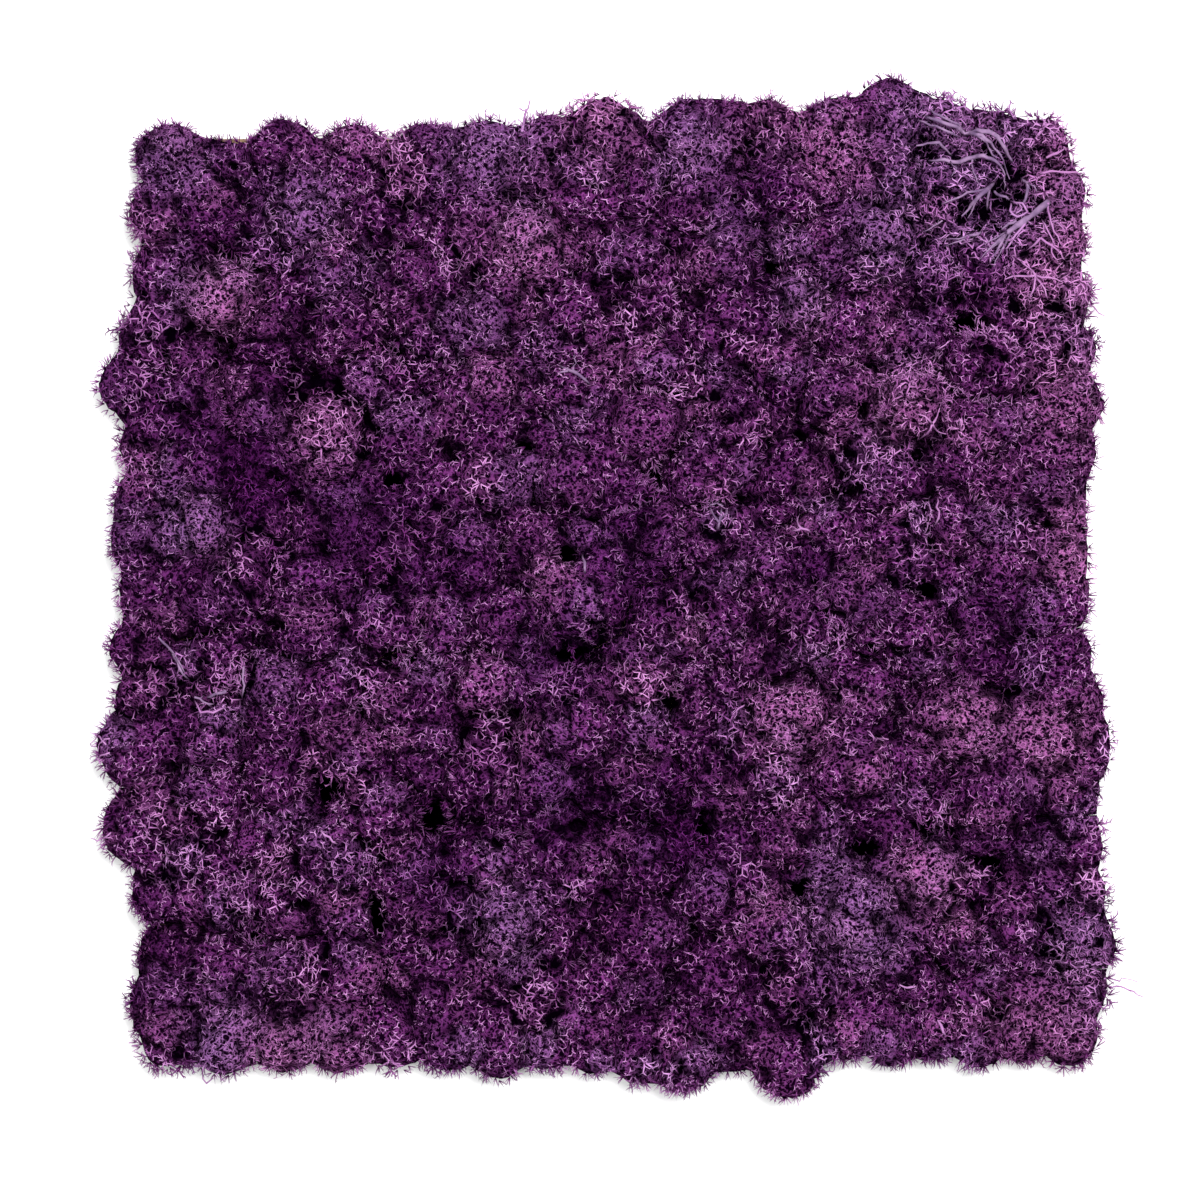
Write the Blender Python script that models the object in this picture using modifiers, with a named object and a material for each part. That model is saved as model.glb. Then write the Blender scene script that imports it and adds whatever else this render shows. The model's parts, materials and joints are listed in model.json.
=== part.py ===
"""A square mat of dyed reindeer moss: tufts of moss glued side by side on a thin fibreboard.

The moss tops out in rounded cushions. A tuft is a few cushions that hang together, and it is one
solid. The cushions that stand out in the photo, the reach of the moss past each side of the board
and the deep pits are placed by hand. The rest of the board is filled by a rule.

Metres, +Z up. The origin is the middle of the board's underside.
"""

import math
import random

import bmesh
import bpy
from mathutils import Matrix, Vector

MM = 0.001

# Board
BOARD_SIDE = 470 * MM
BOARD_THICKNESS = 6 * MM
BOARD_EDGE_ROUND = 0.8 * MM

# Moss heights, above the board's underside
GAP = 0.3 * MM
MOSS_BOTTOM = BOARD_THICKNESS + GAP
PIT_FLOOR = 12 * MM
BED_TOP = 29 * MM
RIM_EDGE = 20 * MM
RIM_TOP = (36 * MM, 43 * MM)
CUSHION_TOP = (42 * MM, 51 * MM)

# Moss spacing
SEED = 11
TUFTS_ACROSS = 7
TUFT_JITTER = 11 * MM
RIM_RADIUS = (16 * MM, 19 * MM)
FILL_RADIUS = (15 * MM, 19 * MM)
PIT_RADIUS = 8 * MM
LEAST_SPACING = 0.66
FILL_SPACING = 0.86

# Millimetres past the board's edge: (place along the side, reach).
# Top and bottom run left to right, left and right run top to bottom.
TOP_REACH = [
    (-225, 6), (-196, -3), (-167, 8), (-130, 6), (-94, 5), (-62, 10), (-30, 12), (-5, 21),
    (45, 19), (65, 18), (85, 20), (116, 19), (145, 29), (172, 22), (200, 14), (222, 11),
]
RIGHT_REACH = [
    (204, 14), (178, 15), (150, 17), (124, 18), (98, 21), (72, 19), (46, 14), (19, 14),
    (-7, 14), (-34, 17), (-58, 23), (-80, 29), (-106, 20), (-130, 23), (-155, 26), (-181, 29),
    (-207, 26), (-230, 20),
]
BOTTOM_REACH = [
    (-225, 13), (-197, 17), (-168, 16), (-139, 16), (-111, 15), (-83, 15), (-56, 17), (-31, 15),
    (-7, 16), (17, 20), (39, 25), (64, 14), (94, 28), (122, 10), (147, 11), (170, 10), (192, 12),
    (214, 11),
]
LEFT_REACH = [
    (196, 12), (164, 11), (131, 18), (105, 28), (75, 17), (48, 19), (24, 20), (0, 18),
    (-30, 23), (-57, 20), (-80, 30), (-124, 27), (-158, 12), (-190, 9), (-214, 12),
]

# Millimetres: middles of the deep pits between cushions
PITS = [
    (-91, -117), (-106, -31), (-145, -100), (-20, 22), (-120, -167), (-184, -178), (67, 215),
    (86, 170), (186, 137), (-175, 61), (-111, 59), (-44, 78), (23, 62), (165, 3), (137, -28),
    (-30, -31), (50, -120), (101, -148), (137, -133), (197, -142), (114, -208), (203, -209),
    (-53, -126),
]

# Millimetres: (across, up, radius) of the cushions that stand out
CUSHIONS = [
    (-158, 190, 15), (-42, 178, 19), (-197, 152, 20), (-89, 129, 18), (-65, 102, 19),
    (-14, 134, 19), (-148, 80, 20), (-107, 80, 16), (-63, 56, 18), (-14, 58, 16), (-210, 31, 18),
    (-148, 35, 16), (-156, 5, 16), (-184, 62, 15), (-135, 136, 16), (-107, 162, 15), (20, 85, 19),
    (115, 215, 18), (141, 183, 18), (110, 176, 18), (177, 206, 18), (218, 198, 18), (58, 167, 18),
    (17, 144, 16), (58, 138, 15), (99, 150, 15), (89, 116, 18), (120, 102, 19), (156, 126, 16),
    (160, 97, 16), (220, 126, 20), (192, 81, 20), (146, 58, 20), (99, 58, 19), (50, 61, 16),
    (7, 53, 14), (17, 25, 20), (58, 26, 18), (115, 35, 14), (148, 30, 15), (202, 58, 15),
    (182, 36, 14), (205, 10, 18), (79, 6, 16), (22, 117, 16), (195, 165, 15), (-174, -56, 22),
    (-142, -57, 15), (-112, -14, 19), (-199, -77, 19), (-158, -18, 15), (-210, -10, 16),
    (-65, -49, 21), (-83, -23, 14), (-14, -67, 23), (-107, -59, 18), (-174, -94, 16),
    (-202, -106, 16), (-117, -114, 20), (-65, -99, 18), (-35, -100, 14), (-184, -130, 14),
    (-139, -140, 20), (-102, -145, 16), (-64, -140, 18), (-9, -149, 18), (-53, -171, 18),
    (-212, -157, 16), (-192, -193, 18), (-163, -193, 15), (-135, -198, 14), (-91, -203, 18),
    (-32, -198, 16), (-1, -203, 19), (-9, -1, 20), (17, -49, 20), (50, -57, 16), (32, -16, 18),
    (59, -16, 14), (89, -11, 16), (143, -11, 20), (94, -68, 22), (131, -53, 19), (182, -72, 22),
    (225, -76, 21), (128, -93, 21), (165, -94, 16), (89, -99, 14), (63, -116, 18), (27, -103, 15),
    (100, -125, 15), (195, -109, 18), (223, -126, 18), (166, -152, 21), (130, -170, 23),
    (58, -156, 20), (84, -179, 16), (20, -180, 22), (56, -198, 15), (92, -207, 16),
    (134, -217, 19), (213, -173, 18), (179, -178, 15), (177, -211, 18), (223, -216, 21),
    (227, -31, 19), (195, -26, 18), (174, -52, 13), (226, -175, 18), (22, -139, 15),
    (-24, -126, 14),
]

# How the ground is divided and a cushion is drawn on its share
CELL_REACH = 60 * MM
FREE_EDGE_TURN = 30
FREE_EDGE_MARGIN = 0.9
LONGEST_EDGE = 29 * MM
SHORTEST_EDGE = 5.5 * MM
EDGE_WANDER = 1.2 * MM
BED_WANDER = 2 * MM
LEAST_SHARED_EDGE = 6 * MM
WIDE_CUSHION = 16.5 * MM
WIDE_DOME = ((0.84, 0.54), (0.46, 0.90))
DOME = ((0.66, 0.80),)
PIT = ((0.70, 1.0),)
LUMP = 0.08
FOOT_TUCK = 0.65


class Site:
    """The ground of one cushion, or of one pit, seen from above."""

    def __init__(self, x, y, radius, top, is_pit=False):
        self.place = Vector((x, y))
        self.radius = radius
        self.top = top
        self.is_pit = is_pit
        self.tuft = None
        self.borders = {}

    def clear_of(self, other, closeness):
        return (self.place - other.place).length > closeness * (self.radius + other.radius)

    def share_towards(self, other):
        """Distance from this middle at which the ground towards the other one ends."""
        distance = (other.place - self.place).length
        return (distance**2 + self.radius**2 - other.radius**2) / (2 * distance)


def clear_scene():
    for obj in list(bpy.data.objects):
        bpy.data.objects.remove(obj)


def new_collection(name):
    collection = bpy.data.collections.new(name)
    bpy.context.scene.collection.children.link(collection)
    return collection


def new_material(name, colour, roughness):
    material = bpy.data.materials.new(name)
    material.use_nodes = True
    shader = material.node_tree.nodes["Principled BSDF"]
    shader.inputs["Base Color"].default_value = (*colour, 1)
    shader.inputs["Roughness"].default_value = roughness
    shader.inputs["Metallic"].default_value = 0
    material.diffuse_color = (*colour, 1)
    return material


def new_object(name, mesh, material, collection):
    data = bpy.data.meshes.new(name)
    mesh.to_mesh(data)
    mesh.free()
    data.materials.append(material)
    made = bpy.data.objects.new(name, data)
    collection.objects.link(made)
    return made


def place_sites(rng):
    """Pits, rim cushions and named cushions, then filling cushions wherever one still fits."""
    half = BOARD_SIDE / 2
    sites = [Site(x * MM, y * MM, PIT_RADIUS, PIT_FLOOR, is_pit=True) for x, y in PITS]
    for side, reaches in enumerate((TOP_REACH, RIGHT_REACH, BOTTOM_REACH, LEFT_REACH)):
        for along, reach in reaches:
            radius = rng.uniform(*RIM_RADIUS)
            out = half + reach * MM - radius
            spot = [(along * MM, out), (out, along * MM), (along * MM, -out), (-out, along * MM)]
            sites.append(Site(*spot[side], radius, rng.uniform(*RIM_TOP)))
    for x, y, radius in CUSHIONS:
        cushion = Site(x * MM, y * MM, radius * MM, rng.uniform(*CUSHION_TOP))
        if all(cushion.clear_of(other, LEAST_SPACING) for other in sites):
            sites.append(cushion)
    for _ in range(12000):
        x, y = rng.uniform(-half, half), rng.uniform(-half, half)
        cushion = Site(x, y, rng.uniform(*FILL_RADIUS), rng.uniform(*CUSHION_TOP))
        if all(cushion.clear_of(other, FILL_SPACING) for other in sites):
            sites.append(cushion)
    return sites


def bounds_outside(sites):
    """Empty sites past the rim, where none crowds a cushion, so that the rim ends in rounds."""
    found = []
    for site in sites:
        for turn in range(0, 360, FREE_EDGE_TURN):
            way = Vector((math.cos(math.radians(turn)), math.sin(math.radians(turn))))
            place = site.place + way * site.radius * 2
            empty = Site(*place, site.radius, 0)
            off_board = max(abs(place.x), abs(place.y)) > BOARD_SIDE / 2 + site.radius / 2
            others = [other for other in sites if other is not site]
            if off_board and all(
                other.share_towards(empty) > FREE_EDGE_MARGIN * other.radius for other in others
            ):
                found.append(empty)
    return found


def outline_of(site, others):
    """Corners of the ground nearer to this site than to the others."""
    square = ((-1, -1), (1, -1), (1, 1), (-1, 1))
    corners = [site.place + Vector(corner) * CELL_REACH for corner in square]
    for other in others:
        apart = other.place - site.place
        if other is not site and apart.length < 2 * CELL_REACH:
            on_line = site.place + apart.normalized() * site.share_towards(other)
            corners = clip(corners, on_line, -apart)
    return corners


def clip(corners, on_line, inward):
    kept = []
    for a, b in zip(corners, corners[1:] + corners[:1]):
        depth_a, depth_b = (a - on_line).dot(inward), (b - on_line).dot(inward)
        if depth_a >= 0:
            kept.append(a)
        if depth_a * depth_b < 0:
            kept.append(a + (b - a) * (depth_a / (depth_a - depth_b)))
    return kept


def divide_ground(sites, rng):
    """A flat net with one face for each site, at the height of the bed between cushions."""
    net = bmesh.new()
    site_of = net.faces.layers.int.new("site")
    fence = bounds_outside(sites)
    for index, site in enumerate(sites):
        corners = [net.verts.new((p.x, p.y, BED_TOP)) for p in outline_of(site, sites + fence)]
        net.faces.new(corners)[site_of] = index
    bmesh.ops.remove_doubles(net, verts=net.verts, dist=0.01 * MM)
    short = [edge for edge in net.edges if edge.calc_length() < SHORTEST_EDGE]
    bmesh.ops.collapse(net, edges=short)
    long = [edge for edge in net.edges if edge.calc_length() > LONGEST_EDGE]
    bmesh.ops.bisect_edges(net, edges=long, cuts=1)
    for vert in net.verts:
        if vert.is_boundary:
            vert.co.z = RIM_EDGE
        vert.co.x += rng.uniform(-EDGE_WANDER, EDGE_WANDER)
        vert.co.y += rng.uniform(-EDGE_WANDER, EDGE_WANDER)
        vert.co.z += rng.uniform(-BED_WANDER, BED_WANDER)
    for edge in net.edges:
        if len(edge.link_faces) == 2:
            one, two = [sites[face[site_of]] for face in edge.link_faces]
            length = one.borders.get(two, 0) + edge.calc_length()
            one.borders[two] = two.borders[one] = length
    return net


def share_out(sites, rng):
    """Gives each site to the nearest of the tufts, then mends tufts that don't hang together."""
    pitch = (BOARD_SIDE + 30 * MM) / TUFTS_ACROSS
    middle = (TUFTS_ACROSS - 1) / 2
    centres = {}
    for row in range(TUFTS_ACROSS):
        for column in range(TUFTS_ACROSS):
            x = (column - middle) * pitch + rng.uniform(-TUFT_JITTER, TUFT_JITTER)
            y = (middle - row) * pitch + rng.uniform(-TUFT_JITTER, TUFT_JITTER)
            centres[f"moss_tuft_row{row + 1}_{column + 1}"] = Vector((x, y))
    for _ in range(4):
        for site in sites:
            site.tuft = min(centres, key=lambda name: (centres[name] - site.place).length)
        for name in centres:
            members = [site for site in sites if site.tuft == name]
            centres[name] = sum((site.place for site in members), Vector((0, 0))) / len(members)
    for _ in range(6):
        for name in centres:
            members = [site for site in sites if site.tuft == name]
            for stray in set(members) - hanging_together(members):
                shared = {}
                for other, length in stray.borders.items():
                    shared[other.tuft] = shared.get(other.tuft, 0) + length
                shared.pop(name, None)
                if shared:
                    stray.tuft = max(shared, key=shared.get)
    return sorted(centres)


def hanging_together(members):
    """The largest group of these sites that border on each other."""
    best = set()
    left = list(members)
    while left:
        group = {left.pop(0)}
        grown = True
        while grown:
            near = [
                site for site in left
                if any(site.borders.get(other, 0) > LEAST_SHARED_EDGE for other in group)
            ]
            grown = bool(near)
            group.update(near)
            left = [site for site in left if site not in group]
        if len(group) > len(best):
            best = group
    return best


def raise_cushion(mesh, face, site, rng):
    """Draws the face in and up in steps, or in and down for a pit, and closes it to a crown."""
    middle = face.calc_center_median()
    corners = [vert.co.copy() for vert in face.verts]
    steps = PIT if site.is_pit else WIDE_DOME if site.radius > WIDE_CUSHION else DOME
    for share, rise in steps:
        bmesh.ops.inset_individual(mesh, faces=[face], thickness=0.1 * MM)
        for vert, corner in zip(face.verts, corners):
            out = (corner - middle) * share
            out *= min(1, site.radius * rng.uniform(1 - LUMP, 1 + LUMP) / out.length)
            vert.co = middle + out
            vert.co.z = middle.z + (site.top - middle.z) * rise
    crown = bmesh.ops.poke(mesh, faces=[face])["verts"][0]
    crown.co = (middle.x, middle.y, site.top)


def build_tuft(name, net, sites, rng):
    """One tuft: its part of the net drawn up to cushions, with walls down to a flat foot."""
    mesh = net.copy()
    site_of = mesh.faces.layers.int["site"]
    strange = [face for face in mesh.faces if sites[face[site_of]].tuft != name]
    bmesh.ops.delete(mesh, geom=strange, context="FACES")
    seam = bmesh.ops.inset_region(
        mesh, faces=mesh.faces, thickness=GAP / 2, use_boundary=True, use_even_offset=True
    )
    bmesh.ops.delete(mesh, geom=seam["faces"], context="FACES")
    grounds = list(mesh.faces)
    rim = [edge for edge in mesh.edges if edge.is_boundary]
    walls = bmesh.ops.extrude_edge_only(mesh, edges=rim)["geom"]
    limit = BOARD_SIDE / 2
    for vert in (part for part in walls if isinstance(part, bmesh.types.BMVert)):
        for axis in (0, 1):
            past = abs(vert.co[axis]) - limit
            if past > 0:
                vert.co[axis] -= math.copysign(past * FOOT_TUCK, vert.co[axis])
        vert.co.z = MOSS_BOTTOM
    foot = [edge for edge in mesh.edges if edge.is_boundary]
    bmesh.ops.edgeloop_fill(mesh, edges=foot)
    for face in grounds:
        raise_cushion(mesh, face, sites[face[site_of]], rng)
    bmesh.ops.triangulate(mesh, faces=mesh.faces)
    bmesh.ops.recalc_face_normals(mesh, faces=mesh.faces)
    return mesh


def build_board():
    board = bmesh.new()
    size = Matrix.Diagonal((BOARD_SIDE, BOARD_SIDE, BOARD_THICKNESS, 1))
    bmesh.ops.create_cube(board, size=1, matrix=size)
    bmesh.ops.translate(board, verts=board.verts, vec=(0, 0, BOARD_THICKNESS / 2))
    return board


def main():
    clear_scene()
    mat = new_collection("moss_mat")
    moss = new_material("dyed_moss", (0.16, 0.045, 0.17), 0.85)
    fibreboard = new_material("fibreboard", (0.23, 0.14, 0.08), 0.8)

    board = new_object("backing_board", build_board(), fibreboard, mat)
    eased = board.modifiers.new("eased edges", "BEVEL")
    eased.width = BOARD_EDGE_ROUND
    eased.segments = 1

    rng = random.Random(SEED)
    sites = place_sites(rng)
    net = divide_ground(sites, rng)
    for name in share_out(sites, rng):
        new_object(name, build_tuft(name, net, sites, rng), moss, mat)
    net.free()


main()
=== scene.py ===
"""The looks of a square mat of dyed reindeer moss on its fibreboard.

Every tuft of the frame is replaced by a piece of the same form: a matted heart, near-black with
painted shade, and, on it, forked sprigs whose tips reach the frame's surface. Bared stalks lie on top
where the moss was pressed over. Metres, +Z up, as in the frame.
"""

import json
import math
import random

import bmesh
import bpy
import numpy as np
from mathutils import Euler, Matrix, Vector, noise
from mathutils.bvhtree import BVHTree

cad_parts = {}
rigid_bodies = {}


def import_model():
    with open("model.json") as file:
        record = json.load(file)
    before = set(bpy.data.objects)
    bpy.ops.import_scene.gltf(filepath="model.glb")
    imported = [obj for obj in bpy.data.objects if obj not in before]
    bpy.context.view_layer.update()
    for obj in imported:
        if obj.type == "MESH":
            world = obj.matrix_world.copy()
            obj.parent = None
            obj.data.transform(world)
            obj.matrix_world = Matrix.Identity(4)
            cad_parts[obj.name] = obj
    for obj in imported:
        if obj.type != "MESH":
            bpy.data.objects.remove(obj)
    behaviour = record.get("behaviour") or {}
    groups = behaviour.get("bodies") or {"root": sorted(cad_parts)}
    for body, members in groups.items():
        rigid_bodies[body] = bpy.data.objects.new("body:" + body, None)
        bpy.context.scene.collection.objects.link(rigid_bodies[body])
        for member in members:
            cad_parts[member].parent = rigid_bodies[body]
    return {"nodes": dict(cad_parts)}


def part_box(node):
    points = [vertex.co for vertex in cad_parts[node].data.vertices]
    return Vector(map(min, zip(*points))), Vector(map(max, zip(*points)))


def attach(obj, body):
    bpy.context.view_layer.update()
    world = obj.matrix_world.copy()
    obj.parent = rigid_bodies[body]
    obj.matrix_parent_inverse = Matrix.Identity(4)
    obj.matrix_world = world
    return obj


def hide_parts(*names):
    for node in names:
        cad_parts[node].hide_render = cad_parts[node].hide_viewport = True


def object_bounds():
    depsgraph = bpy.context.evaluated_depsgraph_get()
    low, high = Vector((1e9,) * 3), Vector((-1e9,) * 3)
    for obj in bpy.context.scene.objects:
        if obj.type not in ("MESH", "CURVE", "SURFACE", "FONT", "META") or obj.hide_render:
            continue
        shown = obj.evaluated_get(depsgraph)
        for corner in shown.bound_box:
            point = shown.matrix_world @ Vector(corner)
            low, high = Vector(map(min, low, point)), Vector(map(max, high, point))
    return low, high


MM = 0.001
PIXEL = 0.515 * MM  # what one point of the photo spans on the mat
PHOTO_WIDTH = 1200
PHOTO_MIDDLE = (607, 590)  # the point that shows the part's origin

# The moss, in depth
FELT_DEPTH = 2.6 * MM  # from the level of the tips down to the felt
SUNKEN = 2.4 * MM  # how far the lowest sprigs stand below the highest
RIM_SWELL = 3.2 * MM  # how far the moss stands out past the solids' sides
LOWEST = 11 * MM  # the moss ends here, above the board
HANG = 3.5 * MM  # how far below that a sprig may hang
LOW_RIM = 16 * MM  # less grows on the sides below this
PAST_RIM = 24 * MM  # the height of what lies beyond the moss
STALK_RISE = 0.5 * MM
STALK_END_DROP = 1.5 * MM

# Beds: the longest edge, and the longest one at a crease and by a pit
EDGE = 6.0 * MM
CREASE_EDGE = 3.0 * MM
PIT_EDGE = 2.0 * MM
NEXT_TUFT = 3 * MM  # a face that looks at another tuft this close is hidden

# Pits
PIT_LEVEL = 26 * MM  # a solid's pit is filled up to here, but not in its middle
PIT_DROP = 14 * MM
PIT_REACH = 30 * PIXEL
PIT_RAGS = 3.5 * MM

# Clumps
CLUMP_REACH = 1.7  # where a clump's dome ends, in its half widths
CLUMP_RELIEF = 6.0 * MM
CLUMP_NEARBY = 50 * PIXEL
CREASE_DEPTH = 3.0 * MM
CREASE_WIDTH = 0.36
GAP_DEPTH = 3.0 * MM
DULL_DEPTH = 3.0 * MM  # the less pale a clump, the lower it lies
KIND_STEP = 0.618  # times a clump's number, what is past the whole says what grows on it
TINT_STEP = 0.7548  # and in the same way how it is tinted
COARSE_ABOVE = 0.86
FINE_BELOW = 0.3

# Kinds of sprig: how many different ones, how far apart they grow, and their shape
SPRIGS = {
    "fringe": (6, 3.55 * MM, {
        "twigs": 2, "spikes": 3, "reach": 3.2 * MM, "rise": 3.2 * MM, "thick": 0.30 * MM,
    }),
    "fine": (8, 5.15 * MM, {
        "twigs": 3, "shoots": 0, "hairs": 3, "reach": 4.8 * MM, "depth": 3.2 * MM,
        "thick": 0.31 * MM, "curl": 1.1,
    }),
    "medium": (8, 6.2 * MM, {
        "twigs": 3, "shoots": 1, "hairs": 1, "reach": 6.2 * MM, "depth": 3.8 * MM,
        "thick": 0.38 * MM, "curl": 1.1,
    }),
    "coarse": (6, 7.9 * MM, {
        "twigs": 3, "shoots": 2, "hairs": 1, "reach": 8.5 * MM, "depth": 5 * MM,
        "thick": 0.52 * MM, "curl": 1.0,
    }),
}
BUSH_ROOT = 3.0 * MM
DENSEST = 400000.0  # sprigs a square metre, before the spacing thins them
LEAN = 0.35  # radians
WHOLE_TURN = 6.283

# Floor, light and camera
FLOOR_SIZE = 8
SOFTBOXES = (((0.45, 0.6, 2.3), 1.2, 91), ((-0.6, -0.2, 2.2), 0.9, 26))  # place, width, watts
SKY_STRENGTH = 0.38
CAMERA_DISTANCE = 2.0
CAMERA_LEVEL = 28 * MM  # the height at which the photo's scale holds

# Where the moss is out of the ordinary, in photo points with a radius

COARSE = [
    (985, 200, 85), (1035, 300, 60), (1080, 940, 45), (1035, 345, 45), (180, 840, 40), (640, 325, 30),
    (910, 385, 35), (470, 260, 30), (280, 870, 30), (170, 680, 30),
]
FINE = [
    (642, 427, 40), (930, 720, 60), (560, 450, 40), (990, 730, 40), (860, 920, 50), (540, 610, 40),
]
LAVENDER_AT = [
    (200, 520, 34), (305, 210, 40), (190, 290, 30), (700, 150, 40), (890, 230, 45), (860, 920, 55),
    (500, 920, 40), (230, 1030, 45), (1080, 945, 45), (1000, 200, 60), (800, 300, 30),
    (500, 150, 50), (940, 130, 60), (170, 160, 40),
]
PINK_AT = [
    (970, 720, 50), (1045, 740, 45), (1080, 270, 60), (300, 1055, 60), (1050, 1040, 60), (225, 295, 40),
    (525, 245, 40), (320, 435, 40), (830, 150, 40), (900, 405, 45), (790, 720, 45), (930, 885, 40),
    (1070, 170, 50), (1085, 400, 60), (1085, 530, 50), (610, 130, 40), (770, 120, 40),
]
DEEP_AT = [
    (250, 480, 60), (350, 530, 80), (640, 545, 60), (560, 650, 50), (680, 840, 60), (1000, 640, 55),
    (420, 560, 60), (560, 800, 60), (200, 420, 40), (440, 880, 40), (740, 190, 40), (820, 590, 40),
]

# Holes that go down into the dark: photo point, half width and half height
PITS = [
    (433, 822, 13, 18), (402, 657, 12, 12), (327, 791, 13, 11), (568, 553, 9, 12),
    (375, 915, 8, 22), (252, 943, 12, 9), (305, 905, 8, 10), (740, 160, 7, 10),
    (503, 840, 12, 7), (515, 715, 7, 8), (510, 740, 5, 14), (580, 825, 9, 7),
    (775, 265, 9, 8), (970, 325, 17, 12), (805, 890, 11, 8), (870, 850, 13, 8),
    (990, 865, 16, 7), (1000, 1005, 9, 8), (830, 1000, 5, 20), (875, 650, 20, 6),
    (655, 480, 6, 18), (525, 445, 8, 6), (450, 455, 6, 8), (235, 165, 6, 6),
    (225, 345, 8, 7), (390, 480, 10, 7), (272, 480, 9, 6), (705, 835, 6, 18),
    (930, 590, 12, 7), (925, 830, 7, 10), (865, 410, 6, 8), (800, 435, 6, 8),
    (920, 450, 9, 6), (855, 490, 7, 7), (565, 655, 18, 5), (275, 625, 12, 6),
]

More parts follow.
